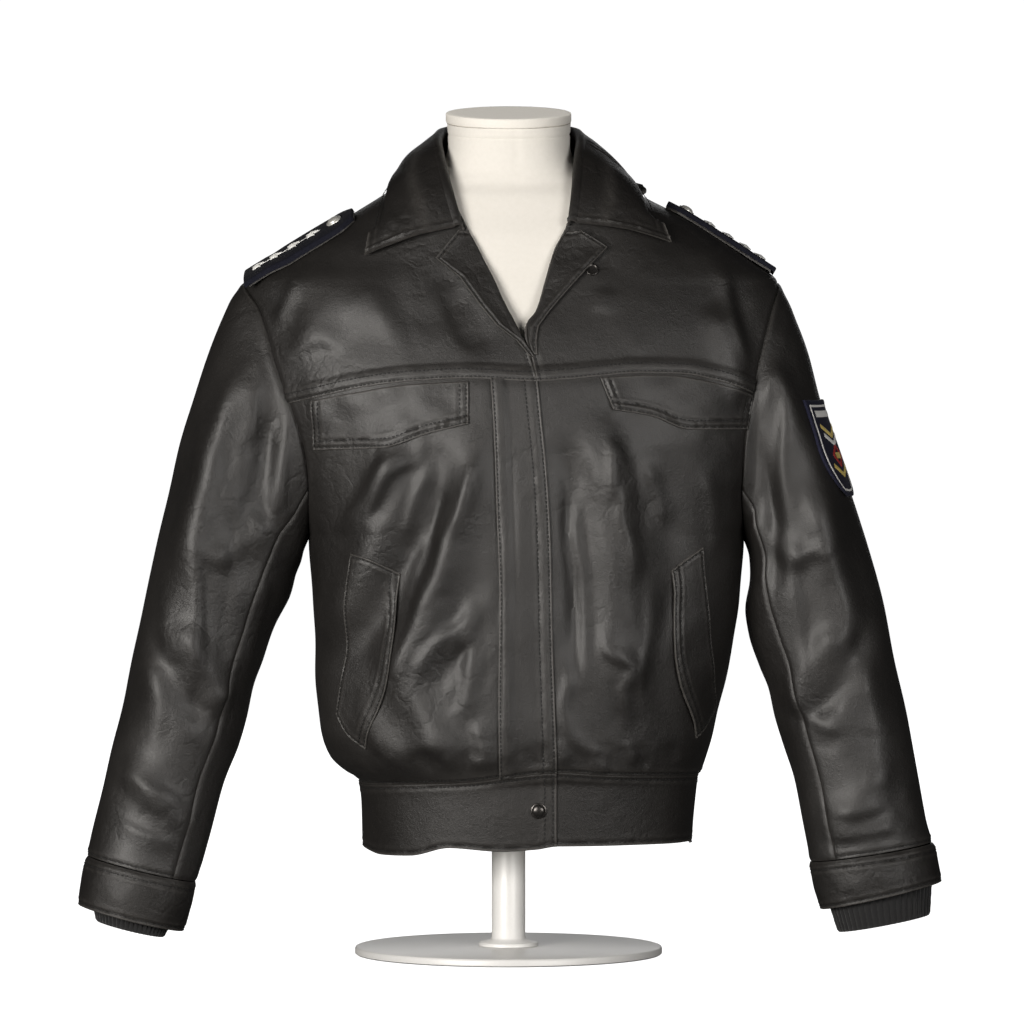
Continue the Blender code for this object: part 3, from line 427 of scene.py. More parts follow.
def path_ridge(points: Sequence[tuple[float, float]], width: float, height: float) -> Ridge:
    """A long crease along places of a front view.

    Args:
        points: Places in millimetres right and down from the view's top left corner.
        width: Half width of the crease on its steeper side.
        height: How far it stands up, or lies below with a number under nought.

    Returns:
        The crease.
    """
    return Ridge(tuple((x - VIEW_MIDDLE, VIEW_FLOOR - y) for x, y in points), width, height)


def armhole_depth(z: Places, deepest: float) -> Places:
    """How far from the shoulder line the armhole seam runs at a height."""
    half = (SHOULDER_TIP_Z - ARMPIT_Z) / 2
    share = (z - ARMPIT_Z - half) / half
    return deepest * np.sqrt(np.clip(1 - share**2, 0, 1))


def trunk_ring(z: Places, is_front: Places) -> tuple[Places, Places, Places]:
    """The trunk's centre, half width and depth at a height, on its front or its back."""
    right = column(TRUNK, "right", z)
    left = column(TRUNK, "left", z)
    depth = np.where(is_front, column(TRUNK, "front", z), column(TRUNK, "back", z))
    seam = np.where(is_front, armhole_depth(z, ARMHOLE_FRONT), armhole_depth(z, ARMHOLE_BACK))
    cut = (1 - (seam / depth) ** ROUNDNESS) ** (1 / ROUNDNESS)
    return (left - right) / 2, (left + right) / 2 / cut, depth


def angle_at(x: Places, z: Places, is_front: bool | Places = True) -> Places:
    """The angle round the trunk of a place seen from the front: nought at the middle front."""
    middle, half, _ = trunk_ring(z, is_front)
    share = np.clip((x - middle) / half, -1, 1)
    angle = np.sign(share) * np.arcsin(np.abs(share) ** (ROUNDNESS / 2))
    return np.where(is_front, angle, np.where(angle < 0, -math.pi, math.pi) - angle)


def bare_trunk(angle: Places, z: Places) -> Places:
    """The trunk with no folds."""
    angle, z = np.broadcast_arrays(np.asarray(angle, float), np.asarray(z, float))
    is_front = np.cos(angle) > 0
    middle, half, depth = trunk_ring(z, is_front)
    sine, cosine = np.sin(angle), np.cos(angle)
    x = middle + half * np.sign(sine) * np.abs(sine) ** (2 / ROUNDNESS)
    y = -depth * np.sign(cosine) * np.abs(cosine) ** (2 / ROUNDNESS)
    return np.stack([x, y, z], axis=-1)


def slope_normals(
    surface: Callable[[Places, Places], Places], u: Places, v: Places, du: float, dv: float
) -> Places:
    """Unit normals of a surface from its own slopes.

    Args:
        surface: Gives points by two coordinates.
        u: The first coordinate of each place.
        v: The second coordinate of each place.
        du: How far to look each way along the first.
        dv: How far to look each way along the second.

    Returns:
        Unit normals.
    """
    along_u = surface(u + du, v) - surface(u - du, v)
    along_v = surface(u, v + dv) - surface(u, v - dv)
    normal = np.cross(along_u, along_v)
    return normal / np.maximum(np.linalg.norm(normal, axis=-1, keepdims=True), 1e-9)


class Trunk:
    """The blouson's trunk as one surface, with its folds."""

    def __init__(self, front: Sequence[Ridge], back: Sequence[Ridge]) -> None:
        """Keeps the creases that lie over the large folds.

        Args:
            front: Creases seen from the front.
            back: Creases of the back, in the same x and z.
        """
        self.front = front
        self.back = back
        self.ripple = Ripple(seed=5, shortest=60, longest=150, height=0.6)

    def relief(self, angle: Places, point: Places, is_smooth: bool = False) -> Places:
        """How far the cloth stands off the bare trunk."""
        x, height = point[..., 0], point[..., 2]
        front, back = fold_height(FRONT_FOLDS, x, height), fold_height(BACK_FOLDS, x, height)
        if not is_smooth:
            front = front + ridge_height(self.front, x, height)
            back = back + ridge_height(self.back, x, height)
        lift = front * soft_step(np.cos(angle) / 0.35) + back * soft_step(-np.cos(angle) / 0.35)
        calm = soft_step((height - HEM_SEAM_Z) / 22) * soft_step((770 - height) / 40)
        return lift * calm + self.ripple.at(x, point[..., 1], height)

    def place(self, angle: Places, z: Places) -> tuple[Places, Places]:
        """Points of the cloth and the bare trunk's outward normals.

        Args:
            angle: Angles round the trunk.
            z: Heights.

        Returns:
            Points and unit normals, in millimetres.
        """
        bare = bare_trunk(angle, z)
        normal = slope_normals(bare_trunk, angle, z, 0.02, 2.0)
        return bare + normal * self.relief(angle, bare)[..., None], normal


def armhole_x(z: Places, side: int) -> Places:
    """Where the armhole seam is, seen from the front."""
    return side * column(TRUNK, "right" if side < 0 else "left", z)


class SleeveShape:
    """A sleeve, cuff or knit cuff as one surface."""

    def __init__(
        self, rows: Sequence[Sleeve], side: int, creases: Sequence[Ridge] = (), is_sleeve: bool = False
    ) -> None:
        """Keeps its sections.

        Args:
            rows: Sections from the top down.
            side: -1 for the wearer's right and 1 for the left.
            creases: Creases by distance from the middle and height.
            is_sleeve: Whether it meets the armhole and has folds.
        """
        self.rows = rows
        self.side = side
        self.is_sleeve = is_sleeve
        self.creases = creases
        self.ripple = Ripple(seed=11 + side, shortest=60, longest=150, height=0.6)

    def straight(self, turn: Places, down: Places) -> Places:
        """The surface straight from its sections.

        Args:
            turn: The angle round it, nought outside and a quarter turn in front.
            down: The share of the way down.

        Returns:
            Points in millimetres.
        """
        turn, down = np.broadcast_arrays(np.asarray(turn, float), np.asarray(down, float))
        keys = np.linspace(0, 1, len(self.rows))
        read = [smooth_column(keys, [row[k] for row in self.rows], down) for k in range(7)]
        outer_x, outer_z, inner_x, inner_z, front, back, middle_y = read
        cosine, sine = np.cos(turn), np.sin(turn)
        x = (outer_x + inner_x) / 2 + (outer_x - inner_x) / 2 * cosine
        z = (outer_z + inner_z) / 2 + (outer_z - inner_z) / 2 * cosine
        y = middle_y - np.where(sine > 0, front, back) * sine
        return np.stack([self.side * x, y, z], axis=-1)

    def bare(self, turn: Places, down: Places) -> Places:
        """The surface drawn in to the armhole seam's curve at its top.

        Args:
            turn: The angle round it.
            down: The share of the way down.

        Returns:
            Points in millimetres.
        """
        point = self.straight(turn, down)
        if not self.is_sleeve:
            return point
        down = np.broadcast_to(np.asarray(down, float), point.shape[:-1])
        top = self.straight(turn, np.zeros_like(down))
        bow = armhole_x(top[..., 2], self.side) - top[..., 0]
        fade = (1 - soft_step(down / 0.3)) ** 1.5
        clear = 0.5 + 3.5 * soft_step(down / 0.07) * (1 - soft_step((down - 0.1) / 0.2))
        point[..., 0] = point[..., 0] + bow * fade + self.side * clear
        return point

    def place(self, turn: Places, down: Places, stand: float) -> tuple[Places, Places]:
        """Points of the cloth and outward unit normals.

        Args:
            turn: Turns round the sleeve.
            down: Shares of its length.
            stand: How far the cloth's outer face lies outside its sections.

        Returns:
            Points and normals.
        """
        bare = self.bare(turn, down)
        normal = slope_normals(self.bare, turn, down, 0.02, 0.004) * self.side
        if not self.is_sleeve:
            return bare + normal * stand, normal
        down = np.asarray(down, float)
        calm = soft_step(down / 0.06) * soft_step((1 - down) / 0.05)
        across, height = np.abs(bare[..., 0]), bare[..., 2]
        lift = fold_height(SLEEVE_FOLDS, across, height) + ridge_height(self.creases, across, height)
        lift = lift * calm * soft_step(np.abs(np.sin(turn)) / 0.5)
        lift = stand + lift + self.ripple.at(*np.moveaxis(bare, -1, 0)) * calm
        return bare + normal * lift[..., None], normal


class Edge(Enum):
    """How a cut edge of a piece is finished."""

    SEAM = "sewn to its neighbour, so both dip into the seam"
    LAPPED = "turned and sewn down over its neighbour"
    TUCKED = "runs under its neighbour's lap"
    FREE = "turned and open"


@dataclass(frozen=True)
class Edges:
    """The finish of a grid's four sides."""

    first_row: Edge
    last_row: Edge
    first_column: Edge
    last_column: Edge


def edge_profile(kind: Edge, away: Places) -> Places:
    """How a surface rises or dips by its distance from an edge, in millimetres."""
    if kind is Edge.SEAM:
        return -1.0 * np.exp(-((away / 1.8) ** 1.3)) + 0.3 * np.exp(-(((away - 5.5) / 3.4) ** 2))
    if kind is Edge.LAPPED:
        round_over = -0.9 * np.clip(1 - away / 1.2, 0, 1) ** 2
        return 2.0 * (1 - soft_step((away - 11.5) / 4)) + round_over
    if kind is Edge.TUCKED:
        return -0.7 * (1 - soft_step(away / 10))
    return -0.8 * np.clip(1 - away / 1.1, 0, 1) ** 2


def spaced(length: float, step: float) -> Places:
    """Shares from 0 to 1 along a length, at a step, and closer by both ends.

    Args:
        length: Millimetres.
        step: Millimetres.

    Returns:
        Rising shares.
    """
    fine = [0.0, 0.35, 0.8, 1.4, 2.3, 3.6, 5.6]
    count = max(2, int(round((length - 11.2) / step)))
    middle = np.linspace(5.6, length - 5.6, count + 1)[1:-1] if length > 14 else np.array([])
    fine = [f for f in fine if f < length / 2 - 0.3]
    ends = [length - f for f in reversed(fine)]
    return np.concatenate([fine, middle, ends]) / length


def arc_shares(grid: Places, axis: int) -> tuple[Places, Places]:
    """Distance of each grid point from the first and the last line along one axis."""
    step = np.linalg.norm(np.diff(grid, axis=axis), axis=-1)
    pad = [(0, 0), (0, 0)]
    pad[axis] = (1, 0)
    run = np.pad(np.cumsum(step, axis=axis), pad)
    total = run[-1:, :] if axis == 0 else run[:, -1:]
    return run, total - run


@dataclass(frozen=True)
class StitchRow:
    """A line of stitches on a surface: points and outward normals in millimetres."""

    points: Places
    normals: Places


class Thread:
    """Gathers stitch rows and makes one mesh of them."""

    def __init__(self, name: str, pitch: float = 4.3, long: float = 2.9, thick: float = 0.72) -> None:
        """Sets the stitches' size.

        Args:
            name: The finished piece's name.
            pitch: From one stitch to the next.
            long: A stitch's length.
            thick: Its half width.
        """
        self.name = name
        self.pitch, self.long, self.thick = pitch, long, thick
        self.rows: list[StitchRow] = []

    def add(self, points: Places, normals: Places) -> None:
        """Adds a row along points on a surface."""
        self.rows.append(StitchRow(np.asarray(points, float), np.asarray(normals, float)))

    def build(self, material: bpy.types.Material) -> bpy.types.Object | None:
        """Makes the mesh: each stitch is a low hump with pointed ends.

        Args:
            material: The thread's finish.

        Returns:
            The piece, or None with no rows.
        """
        points, faces = [], []
        for row in self.rows:
            step = np.linalg.norm(np.diff(row.points, axis=0), axis=1)
            run = np.concatenate([[0], np.cumsum(step)])
            count = int(run[-1] / self.pitch)
            if count < 1:
                continue
            middle = (np.arange(count) + 0.5) * run[-1] / count
            for at in middle:
                ends = [
                    np.array([np.interp(at + s, run, row.points[:, k]) for k in range(3)])
                    for s in (-self.long / 2, self.long / 2)
                ]
                up = np.array([np.interp(at, run, row.normals[:, k]) for k in range(3)])
                self._stitch(points, faces, ends, up / np.linalg.norm(up))
        if not points:
            return None
        return make_piece(self.name, np.array(points), faces, material)

    def _stitch(self, points: list, faces: list, ends: list[Places], up: Places) -> None:
        """Adds one stitch."""
        along = ends[1] - ends[0]
        length = np.linalg.norm(along)
        if length < 1e-6:
            return
        across = np.cross(up, along / length)
        base = len(points)
        for share, size in ((0.0, 0.45), (0.2, 1.0), (0.8, 1.0), (1.0, 0.45)):
            middle = ends[0] + along * share
            rise = self.thick * size
            points.extend([
                middle + across * rise - up * 0.25,
                middle + across * rise * 0.6 + up * rise * 0.8,
                middle - across * rise * 0.6 + up * rise * 0.8,
                middle - across * rise - up * 0.25,
            ])
        for k in range(3):
            low, high = base + 4 * k, base + 4 * k + 4
            for c in range(4):
                n = (c + 1) % 4
                faces.append((low + c, low + n, high + n, high + c))
        faces.append((base + 3, base + 2, base + 1, base))
        faces.append((base + 12, base + 13, base + 14, base + 15))


def make_piece(
    name: str,
    points: Places,
    faces: Sequence[Sequence[int]],
    material: bpy.types.Material,
    wear: Places | None = None,
    sharp: float = 42.0,
) -> bpy.types.Object:
    """A piece from points in millimetres.

    Args:
        name: The piece's name.
        points: One row for each point.
        faces: Corner numbers.
        material: Its finish.
        wear: How scuffed each point is, from 0 to 1, with a painted highlight beside stitch rows added in.
        sharp: The least angle in degrees that shades as an edge.

    Returns:
        The piece, riding on the part's one body.
    """
    mesh = bpy.data.meshes.new(name)
    mesh.from_pydata((np.asarray(points) * MM).tolist(), [], list(faces))
    mesh.validate()
    if wear is not None:
        layer = mesh.attributes.new("wear", "FLOAT", "POINT")
        layer.data.foreach_set("value", np.asarray(wear, float).ravel())
    mesh.shade_smooth()
    mesh.set_sharp_from_angle(angle=math.radians(sharp))
    mesh.materials.append(material)
    piece = bpy.data.objects.new(name, mesh)
    bpy.context.scene.collection.objects.link(piece)
    turn_out(mesh)
    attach(piece, "root")
    return piece


def turn_out(mesh: bpy.types.Mesh) -> None:
    """Turns a closed mesh's faces outwards.

    Args:
        mesh: The mesh, changed in place.
    """
    mesh.calc_loop_triangles()
    corners = np.empty(len(mesh.vertices) * 3)
    mesh.vertices.foreach_get("co", corners)
    corners = corners.reshape(-1, 3)
    index = np.empty(len(mesh.loop_triangles) * 3, int)
    mesh.loop_triangles.foreach_get("vertices", index)
    a, b, c = corners[index.reshape(-1, 3)].transpose(1, 0, 2)
    if np.einsum("ij,ij->i", a, np.cross(b, c)).sum() < 0:
        mesh.flip_normals()


def shell_faces(rows: int, columns: int, is_ring: bool) -> list[tuple[int, int, int, int]]:
    """Faces of a closed wall between two grids, the second numbered after the first.

    Args:
        rows: Rows of each grid.
        columns: Columns of each grid.
        is_ring: Whether the last column joins the first.

    Returns:
        Corner numbers of each face.
    """
    below = rows * columns
    last = columns if is_ring else columns - 1
    i, j = np.meshgrid(np.arange(rows - 1), np.arange(last), indexing="ij")
    k = (j + 1) % columns
    a, b, c, d = i * columns + j, i * columns + k, (i + 1) * columns + k, (i + 1) * columns + j
    faces = [np.stack([a, b, c, d], -1).reshape(-1, 4), np.stack([d, c, b, a], -1).reshape(-1, 4) + below]
    j = np.arange(last)
    k = (j + 1) % columns
    top = (rows - 1) * columns
    faces.append(np.stack([j, j + below, k + below, k], -1))
    faces.append(np.stack([top + k, top + k + below, top + j + below, top + j], -1))
    if not is_ring:
        i = np.arange(rows - 1) * columns
        faces.append(np.stack([i, i + columns, i + columns + below, i + below], -1))
        i = i + columns - 1
        faces.append(np.stack([i, i + below, i + columns + below, i + columns], -1))
    return np.concatenate(faces).tolist()


@dataclass
class Cloth:
    """One cut piece: its outer points, the normals they were moved along and its thickness."""

    name: str
    outer: Places
    normal: Places
    thick: float
    edges: Edges | None = None
    is_ring: bool = False
    # Per point: edge scuffs, plus the painted highlight beside stitch rows.
    wear: Places | None = None

    def finish_edges(self) -> None:
        """Raises or dips the outer points by the finish of each side, and rubs the edges."""
        rise = np.zeros(self.outer.shape[:2])
        wear = np.zeros(rise.shape) if self.wear is None else self.wear
        if self.edges:
            from_first, from_last = arc_shares(self.outer, 0)
            sides = [(self.edges.first_row, from_first), (self.edges.last_row, from_last)]
            if not self.is_ring:
                left, right = arc_shares(self.outer, 1)
                sides += [(self.edges.first_column, left), (self.edges.last_column, right)]
            for kind, away in sides:
                rise = rise + edge_profile(kind, away)
                rub = 1.0 if kind in (Edge.FREE, Edge.LAPPED) else 0.25
                wear = np.maximum(wear, rub * np.exp(-((away / 1.7) ** 2)))
        self.outer = self.outer + self.normal * rise[..., None]
        self.wear = wear

    def build(self, material: bpy.types.Material, *nodes: str, flat: bool = True) -> bpy.types.Object:
        """Makes the piece and hides the part's nodes that it stands for.

        Args:
            material: Its finish.
            nodes: The part's nodes that it stands for.
            flat: Not used.

        Returns:
            The piece.
        """
        rows, columns = self.outer.shape[:2]
        inner = self.outer - self.normal * self.thick
        points = np.concatenate([self.outer.reshape(-1, 3), inner.reshape(-1, 3)])
        wear = np.concatenate([self.wear.ravel(), self.wear.ravel()]) if self.wear is not None else None
        piece = make_piece(self.name, points, shell_faces(rows, columns, self.is_ring), material, wear)
        if nodes:
            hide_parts(*nodes)
        LOG.info("%s: %d faces", self.name, len(piece.data.polygons))
        return piece


def grid_normals(grid: Places) -> Places:
    """Normals of a grid of points, from its neighbours."""
    normal = np.cross(np.gradient(grid, axis=1), np.gradient(grid, axis=0))
    return normal / np.maximum(np.linalg.norm(normal, axis=-1, keepdims=True), 1e-9)


class Nodes:
    """Short ways to place and join shader nodes in one tree."""

    def __init__(self, tree: bpy.types.NodeTree) -> None:
        """Works on a tree."""
        self.tree = tree

    def add(self, kind: str, values: dict[str, object] | None = None, **settings: object) -> bpy.types.Node:
        """Places a node.

        Args:
            kind: Blender's name of the node type, without its ShaderNode prefix.
            values: Input values by name, or nodes' outputs to join to them.
            settings: The node's own settings.

        Returns:
            The node.
        """
        node = self.tree.nodes.new("ShaderNode" + kind)
        for key, value in settings.items():
            setattr(node, key, value)
        for key, value in (values or {}).items():
            socket = node.inputs[key]
            if isinstance(value, bpy.types.NodeSocket):
                self.tree.links.new(value, socket)
            else:
                socket.default_value = value
        return node

    def math(self, how: str, a: object, b: object = 0.0, clamp: bool = False) -> bpy.types.NodeSocket:
        """One sum on two values."""
        node = self.add("Math", operation=how, use_clamp=clamp)
        for socket, value in zip(node.inputs, (a, b)):
            if isinstance(value, bpy.types.NodeSocket):
                self.tree.links.new(value, socket)
            else:
                socket.default_value = value
        return node.outputs[0]

    def scaled(self, value: bpy.types.NodeSocket, low: float, high: float) -> bpy.types.NodeSocket:
        """A value from 0 to 1, spread from low to high."""
        node = self.add("MapRange", {"Value": value, "To Min": low, "To Max": high})
        return node.outputs["Result"]

    def mixed(self, share: object, first: object, second: object) -> bpy.types.NodeSocket:
        """Two colours mixed by a share.

        Args:
            share: How much of the second, as a number or a socket.
            first: A colour or a socket.
            second: A colour or a socket.

        Returns:
            The mixed colour.
        """
        node = self.add("Mix", data_type="RGBA")
        for socket, value in ((node.inputs[0], share), (node.inputs[6], first), (node.inputs[7], second)):
            if isinstance(value, bpy.types.NodeSocket):
                self.tree.links.new(value, socket)
            elif isinstance(value, tuple):
                socket.default_value = (*value, 1.0)
            else:
                socket.default_value = value
        return node.outputs[2]


def new_group(
    name: str,
    inputs: dict[str, float | None],
    outputs: Sequence[str],
    fill: Callable[[Nodes, dict, dict], None],
) -> bpy.types.NodeTree:
    """A shader node group.

    Args:
        name: Its name.
        inputs: Value inputs with their defaults, and None for a vector.
        outputs: Names of its value outputs.
        fill: Builds the inside from the nodes, the input sockets and the output sockets.

    Returns:
        The group.
    """
    tree = bpy.data.node_groups.get(name)
    if tree:
        return tree
    tree = bpy.data.node_groups.new(name, "ShaderNodeTree")
    for key, value in inputs.items():
        kind = "NodeSocketVector" if value is None else "NodeSocketFloat"
        socket = tree.interface.new_socket(key, in_out="INPUT", socket_type=kind)
        if value is not None:
            socket.default_value = value
    for key in outputs:
        tree.interface.new_socket(key, in_out="OUTPUT", socket_type="NodeSocketFloat")
    enter, leave = tree.nodes.new("NodeGroupInput"), tree.nodes.new("NodeGroupOutput")
    nodes = Nodes(tree)
    found = {key: enter.outputs[key] for key in inputs}
    fill(nodes, found, {key: leave.inputs[key] for key in outputs})
    return tree


def hide_grain() -> bpy.types.NodeTree:
    """Leather's grain: fine cells, softer wrinkles between them and a slow change of tone."""

    def fill(nodes: Nodes, given: dict, out: dict) -> None:
        """Builds the inside.

        Args:
            nodes: Makes its nodes.
            given: Its input sockets by name.
            out: Its output sockets by name.
        """
        link = nodes.tree.links.new
        warp = nodes.add("TexNoise", {"Vector": given["Vector"], "Scale": 130.0, "Detail": 3.0})
        bent = nodes.add("VectorMath", {0: given["Vector"]}, operation="ADD")
        pull = nodes.add("VectorMath", operation="SCALE")
        link(warp.outputs["Color"], pull.inputs[0])
        pull.inputs["Scale"].default_value = 0.0022
        link(pull.outputs[0], bent.inputs[1])
        cells = nodes.add(
            "TexVoronoi", {"Vector": bent.outputs[0], "Scale": given["Cells"]}, feature="DISTANCE_TO_EDGE"
        )
        cell = nodes.math("POWER", nodes.math("MULTIPLY", cells.outputs["Distance"], 2.2, True), 0.45)
        wrinkle = nodes.add(
            "TexNoise",
            {"Vector": bent.outputs[0], "Scale": given["Wrinkles"], "Detail": 5.0, "Roughness": 0.62},
        )
        ridge = nodes.math("ABSOLUTE", nodes.math("SUBTRACT", wrinkle.outputs["Fac"], 0.5))
        ridge = nodes.math("MULTIPLY", ridge, 3.0, True)
        soft = nodes.add("TexNoise", {"Vector": given["Vector"], "Scale": 46.0, "Detail": 3.0})
        total = nodes.math("ADD", nodes.math("MULTIPLY", cell, 0.22), nodes.math("MULTIPLY", ridge, 0.5))
        total = nodes.math("ADD", total, nodes.math("MULTIPLY", soft.outputs["Fac"], 1.5))
        wander = nodes.add(
            "TexNoise", {"Vector": bent.outputs[0], "Scale": 34.0, "Detail": 3.0, "Roughness": 0.5}
        )
        line = nodes.math("ABSOLUTE", nodes.math("SUBTRACT", wander.outputs["Fac"], 0.5))
        line = nodes.math("SUBTRACT", 1.0, nodes.math("MULTIPLY", line, 13.0, True))
        where = nodes.add("TexNoise", {"Vector": given["Vector"], "Scale": 7.0, "Detail": 2.0})
        broken = nodes.math("MULTIPLY", nodes.math("SUBTRACT", where.outputs["Fac"], 0.46), 7.0, True)
        crack = nodes.math("MULTIPLY", line, nodes.math("MULTIPLY", broken, 0.75))
        total = nodes.math("SUBTRACT", total, crack)
        link(total, out["Height"])
        slow = nodes.add(
            "TexNoise", {"Vector": given["Vector"], "Scale": 11.0, "Detail": 6.0, "Roughness": 0.6}
        )
        link(nodes.scaled(slow.outputs["Fac"], -0.35, 1.35), out["Tone"])

    return new_group(
        "hide_grain", {"Vector": None, "Cells": 820.0, "Wrinkles": 210.0}, ("Height", "Tone"), fill
    )


def rubbing() -> bpy.types.NodeTree:
    """Where edges and ridge tops are scuffed, and where a highlight is painted beside stitch rows, broken up
    by a fine noise.
    """

    def fill(nodes: Nodes, given: dict, out: dict) -> None:
        """Builds the inside.

        Args:
            nodes: Makes its nodes.
            given: Its input sockets by name.
            out: Its output sockets by name.
        """
        noise = nodes.add("TexNoise", {"Vector": given["Vector"], "Scale": 330.0, "Detail": 4.0})
        broken = nodes.math("MULTIPLY", given["Wear"], nodes.scaled(noise.outputs["Fac"], 0.1, 1.3), True)
        nodes.tree.links.new(nodes.math("MULTIPLY", broken, given["Strength"], True), out["Mask"])

    return new_group("rubbing", {"Vector": None, "Wear": 0.0, "Strength": 0.5}, ("Mask",), fill)


def weave() -> bpy.types.NodeTree:
    """A plain weave of two crossing threads, with slubs."""

    def fill(nodes: Nodes, given: dict, out: dict) -> None:
        """Builds the inside.

        Args:
            nodes: Makes its nodes.
            given: Its input sockets by name.
            out: Its output sockets by name.
        """
        link = nodes.tree.links.new
        waves = []
        for direction in ("X", "Z"):
            wave = nodes.add(
                "TexWave",
                {"Vector": given["Vector"], "Scale": given["Threads"], "Distortion": 0.6, "Detail": 1.0},
                bands_direction=direction,
            )
            waves.append(wave.outputs["Fac"])
        slub = nodes.add("TexNoise", {"Vector": given["Vector"], "Scale": 240.0, "Detail": 5.0})
        both = nodes.math("MAXIMUM", waves[0], waves[1])
        link(nodes.math("ADD", both, nodes.math("MULTIPLY", slub.outputs["Fac"], 0.6)), out["Height"])
        link(slub.outputs["Fac"], out["Tone"])

    return new_group("weave", {"Vector": None, "Threads": 260.0}, ("Height", "Tone"), fill)


class Relief(Enum):
    """The fine form of a finish."""

    GRAIN = "leather cells and wrinkles"
    WEAVE = "crossing threads"
    BRUSH = "fine scratches and a soft unevenness"


@dataclass(frozen=True)
class Finish:
    """A surface's colours, gloss and fine form."""

    name: str
    colour: tuple[float, float, float]
    second: tuple[float, float, float]
    # The lighter scuff colour; it also paints the highlight beside stitch rows.
    rub_and_highlight_colour: tuple[float, float, float]
    rough: tuple[float, float]
    relief: Relief
    bump: float
    depth: float
    slot: str
    metallic: float = 0.0
    coat: float = 0.0
    sheen: float = 0.0
    scale: float = 1.0
    # How strongly the scuff colour and the painted highlight beside stitch rows show.
    wear: float = 0.5
    specular: float = 0.5

    def material(self) -> bpy.types.Material:
        """Makes the material once and gives it on every call."""
        found = bpy.data.materials.get(self.name)
        if found:
            return found
        made = bpy.data.materials.new(self.name)
        made.use_nodes = True
        nodes = Nodes(made.node_tree)
        shader = made.node_tree.nodes["Principled BSDF"]
        place = nodes.add("TexCoord").outputs["Object"]
        height, tone = self._relief(nodes, place)
        # The point attribute holds edge scuffs and the painted highlight beside stitch rows; both mix in the
        # lighter scuff colour.
        rub_and_highlight_node = nodes.add("Attribute", attribute_name="wear")
        mask = nodes.add("Group", node_tree=rubbing())
        nodes.tree.links.new(place, mask.inputs["Vector"])
        nodes.tree.links.new(rub_and_highlight_node.outputs["Fac"], mask.inputs["Wear"])
        mask.inputs["Strength"].default_value = self.wear
        base = nodes.mixed(tone, self.colour, self.second)
        base = nodes.mixed(mask.outputs["Mask"], base, self.rub_and_highlight_colour)
        link = nodes.tree.links.new
        link(base, shader.inputs["Base Color"])
        link(nodes.scaled(tone, *self.rough), shader.inputs["Roughness"])
        bump = nodes.add("Bump", {"Strength": self.bump, "Distance": self.depth})
        link(height, bump.inputs["Height"])
        link(bump.outputs["Normal"], shader.inputs["Normal"])
        shader.inputs["Metallic"].default_value = self.metallic
        shader.inputs["Coat Weight"].default_value = self.coat
        shader.inputs["Coat Roughness"].default_value = 0.32
        shader.inputs["Sheen Weight"].default_value = self.sheen
        shader.inputs["Sheen Roughness"].default_value = 0.45
        shader.inputs["Specular IOR Level"].default_value = self.specular
        return made

    def _relief(
        self, nodes: Nodes, place: bpy.types.NodeSocket
    ) -> tuple[bpy.types.NodeSocket, bpy.types.NodeSocket]:
        """The height and the tone of the fine form."""
        if self.relief is Relief.GRAIN:
            group = nodes.add("Group", node_tree=hide_grain())
            group.inputs["Cells"].default_value = 820.0 * self.scale
            group.inputs["Wrinkles"].default_value = 210.0 * self.scale
        elif self.relief is Relief.WEAVE:
            group = nodes.add("Group", node_tree=weave())
            group.inputs["Threads"].default_value = 260.0 * self.scale
        else:
            noise = nodes.add("TexNoise", {"Vector": place, "Scale": 420.0 * self.scale, "Detail": 5.0})
            return noise.outputs["Fac"], noise.outputs["Fac"]
        nodes.tree.links.new(place, group.inputs["Vector"])
        return group.outputs["Height"], group.outputs["Tone"]


LEATHER = Finish(
    name="black_leather_grained", colour=(0.0095, 0.0086, 0.008), second=(0.019, 0.0172, 0.0157),
    rub_and_highlight_colour=(0.17, 0.16, 0.148), rough=(0.40, 0.55), relief=Relief.GRAIN, bump=0.42, depth=0.0012,
    slot="black_leather", coat=0.12, wear=0.42,
)
# Same black leather as above with less specular, less coat and a slightly darker second tone: a shaded copy
# that paints shade onto the hem band and collar, and is used on the lapels and cuffs too.
SHADED_BAND_LEATHER = Finish(
    name="black_leather_soft", colour=(0.0095, 0.0086, 0.008), second=(0.018, 0.0162, 0.0148),
    rub_and_highlight_colour=(0.17, 0.16, 0.148), rough=(0.40, 0.54), relief=Relief.GRAIN, bump=0.45, depth=0.0013,
    slot="black_leather", coat=0.06, wear=0.42, scale=0.85, specular=0.36,
)
THREAD = Finish(
    name="black_sewing_thread", colour=(0.004, 0.004, 0.004), second=(0.009, 0.0085, 0.008),
    rub_and_highlight_colour=(0.02, 0.019, 0.018), rough=(0.6, 0.8), relief=Relief.BRUSH, bump=0.2, depth=0.0003,
    slot="black_leather",
)
KNIT = Finish(
    name="black_wool_knit", colour=(0.0065, 0.0065, 0.007), second=(0.013, 0.0128, 0.0135),
    rub_and_highlight_colour=(0.03, 0.03, 0.031), rough=(0.85, 0.98), relief=Relief.WEAVE, bump=0.5, depth=0.0009,
    slot="black_knit", sheen=0.25, scale=1.2,
)
BOARD_CLOTH = Finish(
    name="navy_board_cloth", colour=(0.0028, 0.003, 0.0062), second=(0.0055, 0.006, 0.0125),
    rub_and_highlight_colour=(0.02, 0.021, 0.032), rough=(0.85, 0.97), relief=Relief.WEAVE, bump=0.5, depth=0.0006,
    slot="navy_cloth", sheen=0.03, scale=1.6, specular=0.15,
)
PATCH_CLOTH = Finish(
    name="navy_patch_twill", colour=(0.0055, 0.006, 0.017), second=(0.011, 0.0115, 0.03),
    rub_and_highlight_colour=(0.03, 0.031, 0.06), rough=(0.75, 0.9), relief=Relief.WEAVE, bump=0.5, depth=0.0006,
    slot="patch_cloth", sheen=0.06, scale=1.8, specular=0.2,
)
